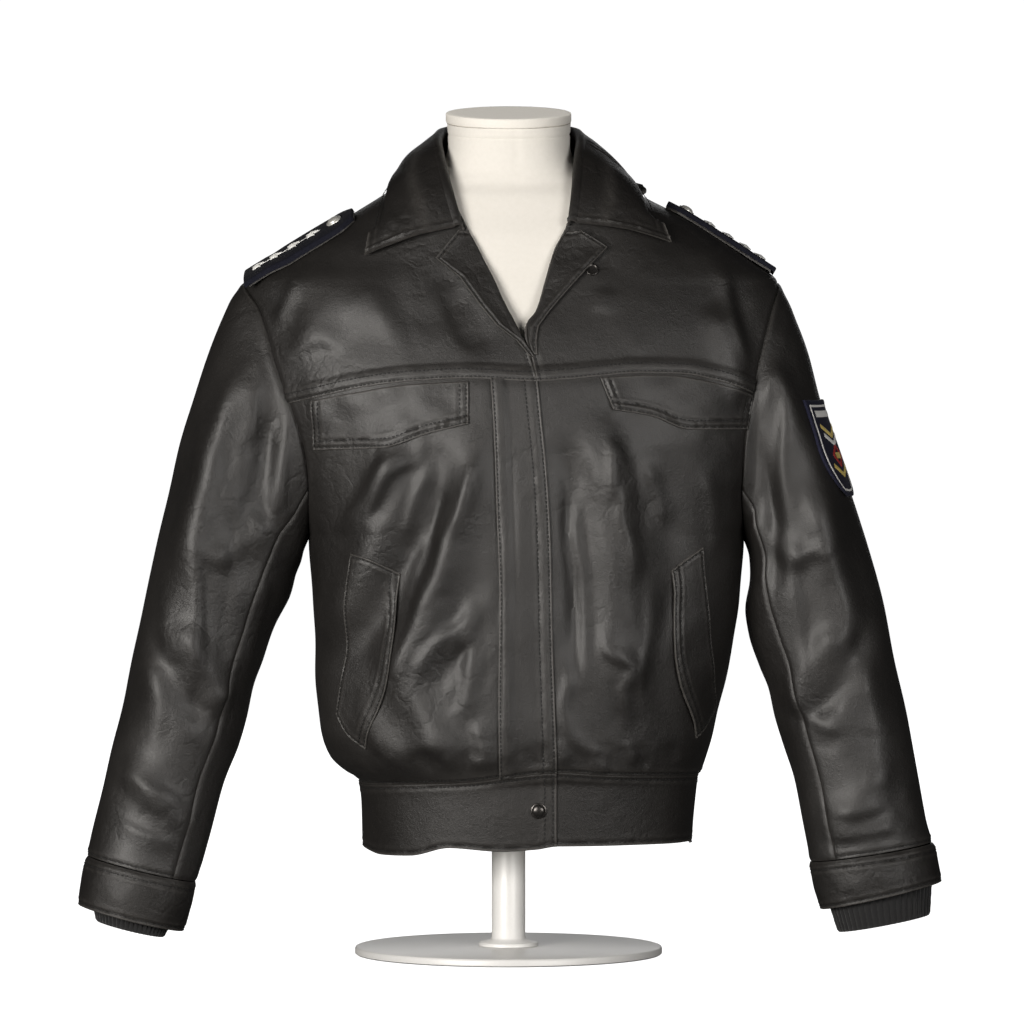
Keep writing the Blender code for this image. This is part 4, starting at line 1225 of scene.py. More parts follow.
WHITE_THREAD = Finish(
    name="white_embroidery", colour=(0.72, 0.71, 0.69), second=(0.88, 0.87, 0.85),
    rub_and_highlight_colour=(0.8, 0.79, 0.76), rough=(0.45, 0.65), relief=Relief.WEAVE, bump=0.4, depth=0.0005,
    slot="patch_cloth", sheen=0.1, scale=3.0,
)
GOLD_THREAD = Finish(
    name="gold_embroidery", colour=(0.62, 0.45, 0.10), second=(0.80, 0.66, 0.24),
    rub_and_highlight_colour=(0.7, 0.52, 0.2), rough=(0.35, 0.55), relief=Relief.WEAVE, bump=0.4, depth=0.0005,
    slot="patch_cloth", scale=3.0,
)
RED_THREAD = Finish(
    name="red_embroidery", colour=(0.28, 0.02, 0.02), second=(0.42, 0.04, 0.035),
    rub_and_highlight_colour=(0.5, 0.1, 0.08), rough=(0.4, 0.6), relief=Relief.WEAVE, bump=0.4, depth=0.0005,
    slot="patch_cloth", scale=3.0,
)
FORM_CLOTH = Finish(
    name="cream_form_jersey", colour=(0.76, 0.73, 0.67), second=(0.83, 0.80, 0.745),
    rub_and_highlight_colour=(0.6, 0.55, 0.47), rough=(0.78, 0.92), relief=Relief.WEAVE, bump=0.16, depth=0.0005,
    slot="form_cloth", sheen=0.1, scale=1.3, wear=0.3,
)
PLATE_BOARD = Finish(
    name="cream_plate_board", colour=(0.82, 0.785, 0.72), second=(0.89, 0.86, 0.80),
    rub_and_highlight_colour=(0.62, 0.54, 0.42), rough=(0.6, 0.8), relief=Relief.BRUSH, bump=0.2, depth=0.0006,
    slot="form_cloth", wear=0.6,
)
SILVER = Finish(
    name="silver_button_metal", colour=(0.66, 0.65, 0.61), second=(0.80, 0.79, 0.75),
    rub_and_highlight_colour=(0.88, 0.87, 0.84), rough=(0.36, 0.5), relief=Relief.BRUSH, bump=0.15, depth=0.0002,
    slot="silver_metal", metallic=0.6,
)
STAR_METAL = Finish(
    name="silver_star_metal", colour=(0.86, 0.86, 0.83), second=(0.94, 0.94, 0.92),
    rub_and_highlight_colour=(0.96, 0.96, 0.95), rough=(0.34, 0.5), relief=Relief.BRUSH, bump=0.25, depth=0.0003,
    slot="silver_metal", metallic=0.2,
)
GUNMETAL = Finish(
    name="dark_stud_metal", colour=(0.05, 0.046, 0.044), second=(0.09, 0.085, 0.08),
    rub_and_highlight_colour=(0.2, 0.19, 0.18), rough=(0.2, 0.36), relief=Relief.BRUSH, bump=0.12, depth=0.0002,
    slot="gunmetal", metallic=0.85,
)
STAND_PAINT = Finish(
    name="white_stand_paint", colour=(0.72, 0.715, 0.70), second=(0.78, 0.775, 0.76),
    rub_and_highlight_colour=(0.6, 0.59, 0.57), rough=(0.3, 0.45), relief=Relief.BRUSH, bump=0.06, depth=0.0003,
    slot="stand_paint", coat=0.2,
)


FRONT_PATHS = (
    ([(415, 447), (388, 462), (376, 482), (357, 510), (338, 543)], 8, 5.5),
    ([(425, 462), (398, 478), (386, 500), (370, 528)], 6, -4.0),
    ([(438, 451), (422, 485), (411, 518), (401, 547)], 7, 4.2),
    ([(459, 474), (445, 520), (438, 554), (422, 598), (409, 638), (396, 670), (379, 713)], 7, 4.6),
    ([(449, 480), (434, 522), (427, 556), (411, 600)], 6, -3.4),
    ([(482, 445), (468, 478), (459, 512), (451, 543)], 6, 3.4),
    ([(478, 587), (462, 623), (442, 637), (421, 670), (422, 693)], 7, 4.4),
    ([(486, 600), (474, 640), (456, 655), (436, 688)], 6, -3.2),
    ([(473, 611), (470, 662), (463, 703), (442, 718)], 6, 3.2),
    ([(476, 713), (483, 754), (488, 777)], 6, 3.4),
    ([(404, 738), (440, 747), (466, 770)], 8, 3.0),
    ([(360, 700), (380, 740), (410, 768)], 9, 3.4),
    ([(505, 500), (504, 600), (505, 690), (503, 760)], 4, 1.6),
    ([(516, 430), (519, 520), (517, 610), (521, 700)], 5, 1.3),
    ([(535, 470), (538, 560), (537, 650), (541, 740)], 4, -1.2),
    ([(577, 462), (574, 493), (575, 531), (581, 579), (583, 638), (584, 662), (585, 698)], 4.5, 4.6),
    ([(569, 470), (566, 531), (572, 590), (575, 650)], 5, -3.0),
    ([(555, 644), (567, 675), (562, 703), (570, 733), (588, 746), (600, 733)], 5, 3.0),
    ([(601, 611), (603, 644), (629, 665), (621, 688), (624, 713), (621, 739)], 6, 3.8),
    ([(612, 432), (610, 464), (608, 503)], 5, 3.4),
    ([(627, 470), (619, 512), (627, 541), (631, 589)], 6, 3.6),
    ([(642, 455), (660, 503), (665, 531)], 7, 3.6),
    ([(650, 560), (648, 620), (640, 680), (650, 740)], 7, 2.8),
    ([(700, 460), (712, 510), (716, 560)], 7, 2.6),
    ([(275, 374), (291, 356), (319, 339), (353, 347)], 8, 3.2),
    ([(300, 273), (288, 299), (275, 329)], 6, 2.4),
    ([(444, 286), (460, 329), (475, 352)], 7, -3.0),
    ([(717, 256), (723, 287), (732, 325), (751, 373)], 7, 3.2),
    ([(730, 268), (741, 318), (753, 362)], 6, -3.0),
    ([(604, 287), (598, 314)], 7, 2.0),
)
SLEEVE_PATHS = {
    -1: (
        (
            [(246, 340), (233, 386), (216, 466), (206, 512), (198, 578), (193, 645), (186, 695), (166, 744)],
            7,
            3.6,
        ),
        ([(269, 373), (256, 396), (254, 429), (233, 449)], 6, 3.0),
        ([(272, 379), (286, 429), (281, 479), (282, 539)], 6, 3.2),
        ([(262, 410), (270, 450), (266, 500), (262, 545)], 6, -3.4),
        ([(199, 532), (201, 612), (198, 695)], 5, 2.4),
        ([(225, 480), (232, 545), (226, 610), (222, 668)], 6, -2.6),
        ([(250, 560), (262, 590), (250, 640), (238, 690)], 6, 3.0),
        ([(233, 688), (215, 700), (205, 730)], 5, 2.2),
        ([(150, 640), (160, 700), (150, 760)], 8, 2.4),
        ([(120, 760), (150, 790), (190, 800)], 7, 2.0),
        ([(110, 815), (140, 832), (186, 846)], 6, 2.2),
    ),
    1: (
        ([(755, 419), (770, 376), (783, 406), (781, 466), (790, 532)], 6, 3.6),
        ([(764, 430), (768, 500), (772, 570), (775, 640)], 7, -3.8),
        ([(799, 466), (816, 539), (843, 612), (846, 661)], 7, 3.2),
        ([(788, 540), (806, 600), (812, 660), (818, 720)], 7, -2.8),
        ([(850, 640), (872, 711), (880, 770)], 8, 2.6),
        ([(800, 548), (813, 552), (826, 561)], 4, 2.0),
        ([(790, 690), (815, 720), (850, 735)], 7, 2.4),
        ([(812, 800), (850, 812), (900, 800)], 7, 2.2),
        ([(822, 838), (860, 834), (905, 822)], 6, 2.2),
    ),
}


def rough_creases() -> tuple[list[Ridge], list[Ridge]]:
    """The creases of the front and of the back that lie over the large folds."""
    front = [path_ridge(*path) for path in FRONT_PATHS]
    small = CreaseSet(21)
    small.add((-150, -30, 200, 420), 22, 16, 12, (40, 110), (0.3, 0.9), (3, 6))
    small.add((-150, -30, 420, 560), 10, 14, 10, (50, 120), (0.3, 0.8), (4, 8))
    small.add((50, 190, 200, 540), 26, -3, 9, (50, 140), (0.3, 0.9), (4, 9))
    small.add((-150, 185, 182, 198), 50, 2, 9, (14, 36), (0.4, 1.3), (2.5, 5))
    small.add((-240, -60, 595, 680), 8, 62, 20, (40, 110), (0.3, 0.8), (6, 11))
    small.add((60, 245, 595, 690), 8, -58, 20, (40, 110), (0.3, 0.8), (6, 11))
    small.add((-225, -190, 430, 540), 8, 20, 10, (40, 90), (0.4, 1.1), (4, 8))
    small.add((210, 238, 430, 540), 8, -18, 10, (40, 90), (0.4, 1.1), (4, 8))
    back = CreaseSet(33)
    back.add((-170, 190, 200, 520), 36, 6, 14, (60, 170), (0.4, 1.6), (5, 11))
    back.add((-180, 200, 182, 200), 50, 0, 9, (16, 44), (0.5, 1.6), (3, 6))
    back.add((-200, 210, 610, 720), 12, 80, 18, (60, 140), (0.4, 1.2), (7, 13))
    back.add((-200, 200, 215, 290), 12, 86, 10, (70, 170), (0.5, 1.6), (6, 11))
    return front + small.folds, back.folds


def sleeve_creases(side: int) -> list[Ridge]:
    """A sleeve's creases, by distance from the middle and height.

    Args:
        side: -1 for the right sleeve and 1 for the left.

    Returns:
        The traced creases, then the small drawn ones.
    """
    found = []
    for points, width, height in SLEEVE_PATHS[side]:
        ridge = path_ridge(points, width, height)
        found.append(replace(ridge, line=tuple((x * side, z) for x, z in ridge.line)))
    small = CreaseSet(50 + side)
    small.add((225, 330, 330, 540), 10, 24, 12, (60, 140), (0.3, 0.9), (6, 12))
    small.add((270, 380, 190, 330), 10, 14, 14, (50, 120), (0.3, 0.9), (6, 11))
    small.add((270, 370, 200, 330), 6, 78, 12, (25, 60), (0.3, 0.8), (4, 8))
    small.add((310, 405, 110, 190), 10, 64, 20, (30, 80), (0.3, 0.9), (5, 9))
    return found + small.folds


YOKE_SEAM = through(
    (-240, 552), (-193, 563), (-138, 575), (-98, 580), (-38, 583), (27, 580), (60, 582), (132, 588),
    (172, 587), (207, 580), (250, 564),
)
HEM_SEAM = through((-155, 173), (-108, 177), (-38, 181), (0, 186), (46, 190), (120, 186), (192, 182))
HEM_EDGE = through(
    (-150, 111), (-128, 105), (-98, 106), (-58, 115), (-8, 112), (27, 114), (48, 117), (120, 117), (190, 116)
)
CLOSURE = through(
    (100, 48), (190, 48), (260, 46), (320, 44), (420, 42), (490, 38), (540, 33), (580, 29), (615, 23)
)
FLY_SEAM = through((178, -9), (260, -10), (360, -9), (460, -12), (540, -15), (584, -18))
RIGHT_FRONT_EDGE = through(
    (580, 29), (603, 22), (615, 18), (636, 6), (663, -8), (693, -21), (709, -30), (735, -42),
    (762, -56), (800, -76),
)
LEFT_FRONT_EDGE = through(
    (580, 30), (603, 25), (617, 20), (627, 18), (638, 20), (650, 29), (679, 38), (709, 47),
    (735, 60), (762, 68), (800, 82),
)
SEAM_ROOM = 0.25
SIDE_RADIUS = 200
ARMHOLE_MIDDLE_Z = 551
ARMHOLE_HALF_HEIGHT = 126


def side_angle(side: int, is_front: bool) -> Line:
    """The angle of the trunk's side edge: side seam, then armhole, then shoulder seam.

    Args:
        side: -1 for the right side and 1 for the left.
        is_front: Whether it bounds the front or the back.

    Returns:
        The angle by height.
    """
    gap = SEAM_ROOM / SIDE_RADIUS

    def at(z: Places) -> Places:
        """Reads the angle at heights."""
        seam = angle_at(armhole_x(z, side), z, is_front)
        edge = np.where(np.abs(z - ARMHOLE_MIDDLE_Z) < ARMHOLE_HALF_HEIGHT, seam, side * math.pi / 2)
        room = np.where(z < ARMPIT_Z, gap, 3.0 * gap)
        return edge + (-side if is_front else side) * room

    return at


def round_back(side: int) -> Line:
    """The same edge of the back, as an angle that keeps rising from the other side."""
    edge = side_angle(side, False)
    return lambda z: edge(z) + (2 * math.pi if side < 0 else 0.0)


def angle_on(line: Line, offset: float = 0.0) -> Line:
    """The angle of a front seam that gives x from a height."""
    return lambda z: angle_at(line(z) + offset, z)


def moved(line: Line, offset: float) -> Line:
    """A seam moved up or down."""
    return lambda x: line(x) + offset


def level(z: float) -> Line:
    """A seam at one height."""
    return lambda x: np.zeros_like(np.asarray(x, float)) + z


class Side(Enum):
    """A side of a grid."""

    FIRST_ROW = "first row"
    LAST_ROW = "last row"
    FIRST_COLUMN = "first column"
    LAST_COLUMN = "last column"


def line_along(cloth: Cloth, side: Side, away: float, trim: float = 0.0) -> tuple[Places, Places]:
    """A line on a piece at a distance from one of its sides.

    Args:
        cloth: The piece, with its edges finished.
        side: The side.
        away: The distance in millimetres.
        trim: How much to leave out at each end of the line.

    Returns:
        Points and normals.
    """
    grid, normal = cloth.outer, cloth.normal
    if side in (Side.FIRST_COLUMN, Side.LAST_COLUMN):
        grid, normal = grid.transpose(1, 0, 2), normal.transpose(1, 0, 2)
    if side in (Side.LAST_ROW, Side.LAST_COLUMN):
        grid, normal = grid[::-1], normal[::-1]
    run = np.concatenate([
        np.zeros((1, grid.shape[1])), np.cumsum(np.linalg.norm(np.diff(grid, axis=0), axis=-1), axis=0)
    ])
    points, normals = [], []
    for j in range(grid.shape[1]):
        i = int(np.clip(np.searchsorted(run[:, j], away) - 1, 0, len(run) - 2))
        t = (away - run[i, j]) / max(run[i + 1, j] - run[i, j], 1e-9)
        points.append(grid[i, j] * (1 - t) + grid[i + 1, j] * t)
        normals.append(normal[i, j] * (1 - t) + normal[i + 1, j] * t)
    points, normals = np.array(points), np.array(normals)
    if cloth.is_ring:
        points, normals = np.vstack([points, points[:1]]), np.vstack([normals, normals[:1]])
    if trim:
        length = np.concatenate([[0], np.cumsum(np.linalg.norm(np.diff(points, axis=0), axis=1))])
        keep = (length > trim) & (length < length[-1] - trim)
        if keep.sum() > 3:
            points, normals = points[keep], normals[keep]
    return points, normals


def sew(cloth: Cloth, thread: Thread, rows: Sequence[tuple[Side, float]], trim: float = 0.0) -> None:
    """Presses stitch rows into a piece, paints a highlight beside them and adds them to a thread.

    Args:
        cloth: The piece, with its edges finished.
        thread: What takes the stitches.
        rows: Each row's side and its distance from it.
        trim: How much to leave out at each end.
    """
    first, last = arc_shares(cloth.outer, 0)
    left, right = arc_shares(cloth.outer, 1)
    away = {Side.FIRST_ROW: first, Side.LAST_ROW: last, Side.FIRST_COLUMN: left, Side.LAST_COLUMN: right}
    press = np.zeros(first.shape)
    for side, gap in rows:
        along = (left if side in (Side.FIRST_ROW, Side.LAST_ROW) else first)
        pucker = 0.75 + 0.25 * np.sin(along * 0.62 + gap) + 0.2 * np.sin(along * 0.23 + 2 * gap)
        press = press + 1.0 * np.exp(-(((away[side] - gap) / 1.25) ** 2)) * pucker
        beside = np.exp(-(((np.abs(away[side] - gap) - 3.2) / 1.4) ** 2))
        press = press - 0.35 * beside
        # Painted highlight: a band beside each stitch row takes the lighter scuff colour, standing in for
        # light on the puffed leather there.
        cloth.wear = np.maximum(cloth.wear, 0.3 * beside * pucker)
    cloth.outer = cloth.outer - cloth.normal * press[..., None]
    for side, gap in rows:
        points, normals = line_along(cloth, side, gap, trim)
        thread.add(points + normals * 0.12, normals)


@dataclass
class TrunkPieces:
    """Fronts, yokes, back and hem band."""

    trunk: Trunk
    thread: Thread
    thick: float = 1.7
    step: float = 3.0
    pieces: dict[str, bpy.types.Object] = field(default_factory=dict)

    def panel(
        self,
        name: str,
        first: Line,
        last: Line,
        low: Line,
        high: Line,
        edges: Edges,
        rows: Sequence[tuple[Side, float]] = (),
        lift: tuple[float, float] = (0.0, 0.0),
        belly: float = 0.0,
        finish: Finish = LEATHER,
        coarse: float = 1.0,
    ) -> Cloth:
        """Cuts, finishes and sews one panel of the trunk.

        Args:
            name: The node that it stands for.
            first: Angle of its first edge by height.
            last: Angle of its last edge by height.
            low: Height of its low edge by x.
            high: Height of its high edge by x.
            edges: Finish of its sides.
            rows: Its stitch rows.
            lift: How far its first and its last edge lie over the trunk.
            belly: How far its middle swells between its low and high edges.
            finish: Its material.
            coarse: How much wider its grid is than the front's.

        Returns:
            The cut piece.
        """
        middle = (float(low(np.array(0.0))) + float(high(np.array(0.0)))) / 2
        probes = 60
        angles = np.linspace(first(np.array(middle)), last(np.array(middle)), probes)
        probe = bare_trunk(angles, np.full(probes, middle))
        width = np.linalg.norm(np.diff(probe, axis=0), axis=1).sum()
        height = float(high(np.array(0.0))) - float(low(np.array(0.0)))
        step = self.step * coarse
        u, v = np.meshgrid(spaced(width, step), spaced(abs(height), step))
        z = np.full_like(u, middle)
        angle = u
        for _ in range(7):
            angle = first(z) * (1 - u) + last(z) * u
            x = bare_trunk(angle, z)[..., 0]
            z = low(x) * (1 - v) + high(x) * v
        point, normal = self.trunk.place(angle, z)
        across = soft_step((u - 0.15) / 0.7)
        rise = lift[0] * (1 - across) + lift[1] * across + belly * 4 * v * (1 - v)
        point = point + normal * rise[..., None]
        cloth = Cloth(name, point, normal, self.thick, edges)
        cloth.finish_edges()
        if rows:
            sew(cloth, self.thread, rows)
        self.pieces[name] = cloth.build(finish.material(), name)
        return cloth

    def build(self) -> None:
        """Makes every panel."""
        half = SEAM_ROOM / 2
        seam, lapped, tucked, free = Edge.SEAM, Edge.LAPPED, Edge.TUCKED, Edge.FREE
        over_hem, under_yoke = moved(HEM_SEAM, half), moved(YOKE_SEAM, 1.5)
        self.panel(
            "front_right", side_angle(-1, True), angle_on(FLY_SEAM, 2.0), over_hem, under_yoke,
            Edges(seam, tucked, seam, tucked), [(Side.FIRST_ROW, 3.0)],
        )
        self.panel(
            "fly_front", angle_on(FLY_SEAM, half), angle_on(CLOSURE), over_hem, under_yoke,
            Edges(seam, tucked, lapped, free),
            [
                (Side.FIRST_COLUMN, 2.2),
                (Side.LAST_COLUMN, 3.0),
                (Side.LAST_COLUMN, 14.0),
                (Side.FIRST_ROW, 3.0),
            ],
            (1.2, 1.8),
        )
        self.panel(
            "front_left", angle_on(CLOSURE, -6.0), side_angle(1, True), over_hem, under_yoke,
            Edges(seam, tucked, free, seam), [(Side.FIRST_ROW, 3.0)], (-0.9, 0.0),
        )
        over_yoke, top = moved(YOKE_SEAM, half), level(NECKLINE_Z)
        twin = [(Side.FIRST_ROW, 2.2), (Side.FIRST_ROW, 10.5)]
        self.panel(
            "yoke_front_right", side_angle(-1, True), angle_on(RIGHT_FRONT_EDGE), over_yoke, top,
            Edges(lapped, tucked, seam, free), twin + [(Side.LAST_COLUMN, 4.5)],
        )
        self.panel(
            "yoke_front_left", angle_on(LEFT_FRONT_EDGE, -2.0), side_angle(1, True), over_yoke, top,
            Edges(lapped, tucked, free, seam), twin + [(Side.FIRST_COLUMN, 4.5)],
        )
        first, last = side_angle(1, False), round_back(-1)
        self.panel(
            "back_panel", first, last, level(HEM_SEAM_Z + half), level(BACK_YOKE_Z + 1.5),
            Edges(seam, tucked, seam, seam), [(Side.FIRST_ROW, 3.0)], coarse=1.35,
        )
        self.panel(
            "yoke_back", first, last, level(BACK_YOKE_Z + half), top,
            Edges(lapped, tucked, seam, seam), twin, coarse=1.35,
        )
        under_hem = moved(HEM_SEAM, -half)
        band = [(Side.FIRST_ROW, 4.0), (Side.LAST_ROW, 3.5)]
        self.panel(
            "hem_front_right", side_angle(-1, True), angle_on(CLOSURE), HEM_EDGE, under_hem,
            Edges(free, seam, seam, free), band + [(Side.LAST_COLUMN, 4.0), (Side.LAST_COLUMN, 13.0)],
            (0.4, 1.2), 0.9, SHADED_BAND_LEATHER,
        )
        self.panel(
            "hem_front_left", angle_on(CLOSURE, -6.0), side_angle(1, True), HEM_EDGE, under_hem,
            Edges(free, seam, free, seam), band, (-0.9, 0.4), 0.9, SHADED_BAND_LEATHER,
        )
        self.panel(
            "hem_back", first, last, level(112.0), level(HEM_SEAM_Z - half),
            Edges(free, seam, seam, seam), band, (0.4, 0.4), 0.9, SHADED_BAND_LEATHER,
        )


@dataclass
class SleevePieces:
    """Two-piece sleeves, cuffs and knit cuffs."""

    thread: Thread
    thick: float = 1.7
    front_seam: float = math.radians(128)
    back_seam: float = math.radians(-122)
    ribs: int = 48
    top_gap: float = 0.0018
    pieces: dict[str, bpy.types.Object] = field(default_factory=dict)

    def strip(
        self,
        name: str,
        shape: SleeveShape,
        turns: tuple[float, float],
        columns: int,
        rows: int,
        edges: Edges,
    ) -> Cloth:
        """One long piece of a sleeve between two turns round it.

        Args:
            name: The piece's name.
            shape: The sleeve's surface.
            turns: Its first and last turn.
            columns: Grid steps round it.
            rows: Grid steps down it.
            edges: How its sides are finished.

        Returns:
            The cut piece.
        """
        u = spaced(columns * 3.2, 3.2)
        v = spaced(rows * 3.2, 3.2)
        turn, down = np.meshgrid(turns[0] + (turns[1] - turns[0]) * u, self.top_gap + (1 - self.top_gap) * v)
        point, normal = shape.place(turn, down, 1.8)
        cloth = Cloth(name, point, normal, self.thick, edges)
        cloth.finish_edges()
        self._turn_in(cloth, shape.side)
        return cloth

    @staticmethod
    def _turn_in(cloth: Cloth, side: int) -> None:
        """Adds rows at the top that run in under the trunk's edge, as a seam allowance does."""
        first, normal = cloth.outer[:1], cloth.normal[:1]
        inward = np.array([-side, 0.0, 0.0])
        rows = [first - normal * sink + inward * run for sink, run in ((3.4, 9.0), (2.4, 4.5), (1.0, 1.6))]
        cloth.outer = np.concatenate([*rows, cloth.outer])
        cloth.normal = np.concatenate([normal, normal, normal, cloth.normal])
        cloth.wear = np.concatenate([np.zeros((3, first.shape[1])), cloth.wear])

    def ring(
        self, name: str, shape: SleeveShape, around: int, rows: int, thick: float, edges: Edges, belly: float
    ) -> Cloth:
        """A cuff that goes all round.

        Args:
            name: The piece's name.
            shape: The cuff's surface.
            around: Grid steps round it.
            rows: Grid steps down it.
            thick: Its thickness.
            edges: How its sides are finished.
            belly: How far its middle swells.

        Returns:
            The cut piece.
        """
        turn, down = np.meshgrid(np.linspace(0, 2 * math.pi, around + 1)[:-1], spaced(rows * 2.2, 2.2))
        point, normal = shape.place(turn, down, thick)
        swell = belly * 4 * down * (1 - down)
        waves = Ripple(seed=90 + around, shortest=22, longest=60, height=0.45)
        wrinkle = waves.at(*np.moveaxis(point, -1, 0))
        point = point + normal * (swell + wrinkle)[..., None]
        cloth = Cloth(name, point, normal, thick, edges, is_ring=True)
        cloth.finish_edges()
        return cloth

    def knit(self, name: str, rows: Sequence[Sleeve], side: int) -> None:
        """A ribbed knit cuff.

        Args:
            name: The piece's name.
            rows: Its sections from the top down.
            side: -1 for the right arm and 1 for the left.
        """
        shape = SleeveShape(rows, side)
        around = self.ribs * 6
        turn, down = np.meshgrid(np.linspace(0, 2 * math.pi, around + 1)[:-1], np.linspace(0, 1, 26))
        point, normal = shape.place(turn, down, 2.2)
        rib = np.abs(np.sin(turn * self.ribs / 2)) ** 0.8 * 1.5 - 0.9
        course = 0.14 * np.sin(down * 34 * math.pi) * soft_step((down - 0.02) / 0.1)
        ends = soft_step((1 - down) / 0.08) * 0.6 + 0.4
        point = point + normal * ((rib * ends + course - 0.2) * soft_step((down - 0.3) / 0.15))[..., None]
        free = Edge.FREE
        cloth = Cloth(name, point, normal, 1.6, Edges(free, free, free, free), is_ring=True)
        cloth.finish_edges()
        piece = cloth.build(KNIT.material(), name)

    def build(self) -> dict[int, SleeveShape]:
        """Makes both sleeves.

        Returns:
            The sleeve surfaces by side.
        """
        gap = SEAM_ROOM / 2 / 55
        seam, free = Edge.SEAM, Edge.FREE
        shapes = {}
        for side, word, rows, cuff, knit in (
            (-1, "right", RIGHT_SLEEVE, RIGHT_CUFF, RIGHT_KNIT),
            (1, "left", LEFT_SLEEVE, LEFT_CUFF, LEFT_KNIT),
        ):
            shape = shapes[side] = SleeveShape(rows, side, sleeve_creases(side), is_sleeve=True)
            edges = Edges(seam, seam, seam, seam)
            top = self.strip(
                f"sleeve_top_{word}", shape, (self.back_seam + gap, self.front_seam - gap), 102, 172, edges
            )
            sew(top, self.thread, [(Side.LAST_ROW, 3.0)])
            under = self.strip(
                f"sleeve_under_{word}", shape, (self.front_seam + gap, self.back_seam + 2 * math.pi - gap),
                40, 124, edges,
            )
            band = self.ring(
                f"cuff_{word}", SleeveShape(cuff, side), 150, 25, 2.0, Edges(seam, free, free, free), 1.2
            )
            sew(band, self.thread, [(Side.FIRST_ROW, 8.0), (Side.LAST_ROW, 4.0)])
            for cloth, finish in ((top, LEATHER), (under, LEATHER), (band, SHADED_BAND_LEATHER)):
                self.pieces[cloth.name] = cloth.build(finish.material(), cloth.name)
            self.knit(f"knit_cuff_{word}", knit, side)
        return shapes


def stand_off(
    inner: Places,
    normal: Places,
    under: Sequence[bpy.types.Object],
    gap: float,
    reach: int = 2,
    start: float = 14.0,
) -> Places:
    """How far each point of a grid moves out so that it clears the pieces under it, softly.

    Args:
        inner: The grid's inner points.
        normal: The ways that they move.
        under: The pieces under it.
        gap: What stays between.
        reach: How many grid steps a rise spreads.
        start: How far out the look down at them begins.

    Returns:
        The rise of each point, with a last axis of one.
    """
    rise = np.zeros(inner.shape[:2])
    for piece in under:
        mesh = piece.data
        tree = BVHTree.FromPolygons([v.co for v in mesh.vertices], [p.vertices for p in mesh.polygons])
        for i, j in np.ndindex(rise.shape):
            way = Vector(normal[i, j])
            hit = tree.ray_cast(Vector(inner[i, j] * MM) + way * start * MM, -way, 2 * start * MM)
            if hit[0] is not None:
                rise[i, j] = max(rise[i, j], start + gap - hit[3] / MM)
    around = (-1, 0, 1)
    for _ in range(reach):
        wide = np.pad(rise, 1, mode="edge")
        rows, columns = rise.shape
        near = [wide[1 + a : 1 + a + rows, 1 + b : 1 + b + columns] for a in around for b in around]
        rise = np.max(near, axis=0)
    for _ in range(reach):
        wide = np.pad(rise, 1, mode="edge")
        near = [wide[1 + a : 1 + a + rows, 1 + b : 1 + b + columns] for a in around for b in around]
        rise = np.mean(near, axis=0)
    return rise[..., None]


class CollarLine(NamedTuple):
    """A point of the collar, from the middle back (0) to its front end (1)."""

    along: float
    foot_x: float
    foot_y: float
    foot_z: float
    roll_x: float
    roll_y: float
    roll_z: float
    edge_x: float
    edge_z: float


RIGHT_COLLAR = (
    CollarLine(0.00, 0, 69, 798.3, 0, 77, 832, 0, 764),
    CollarLine(0.20, 41, 62, 798.3, 39, 68, 831, 66, 762),
    CollarLine(0.40, 73, 31, 798.3, 65, 31, 826, 112, 761),
    CollarLine(0.55, 79, 0, 798.3, 68, 0, 817, 124, 762),
    CollarLine(0.70, 74, -31, 798.3, 65, -37, 801, 130, 750),
    CollarLine(0.85, 62, -67, 772, 56, -73, 765, 136, 726),
    CollarLine(1.00, 51, -82, 738, 46, -87, 730, 141, 701),
)
LEFT_COLLAR = (
    CollarLine(0.00, 0, 69, 798.3, 0, 77, 832, 0, 764),
    CollarLine(0.20, 41, 62, 798.3, 39, 68, 831, 68, 762),
    CollarLine(0.40, 74, 31, 798.3, 66, 31, 826, 116, 762),
    CollarLine(0.55, 81, 0, 798.3, 69, 0, 817, 131, 764),
    CollarLine(0.70, 77, -31, 798.3, 67, -37, 801, 142, 755),
    CollarLine(0.85, 68, -65, 772, 64, -71, 765, 151, 735),
    CollarLine(1.00, 63, -81, 742, 60, -86, 734, 160, 714),
)


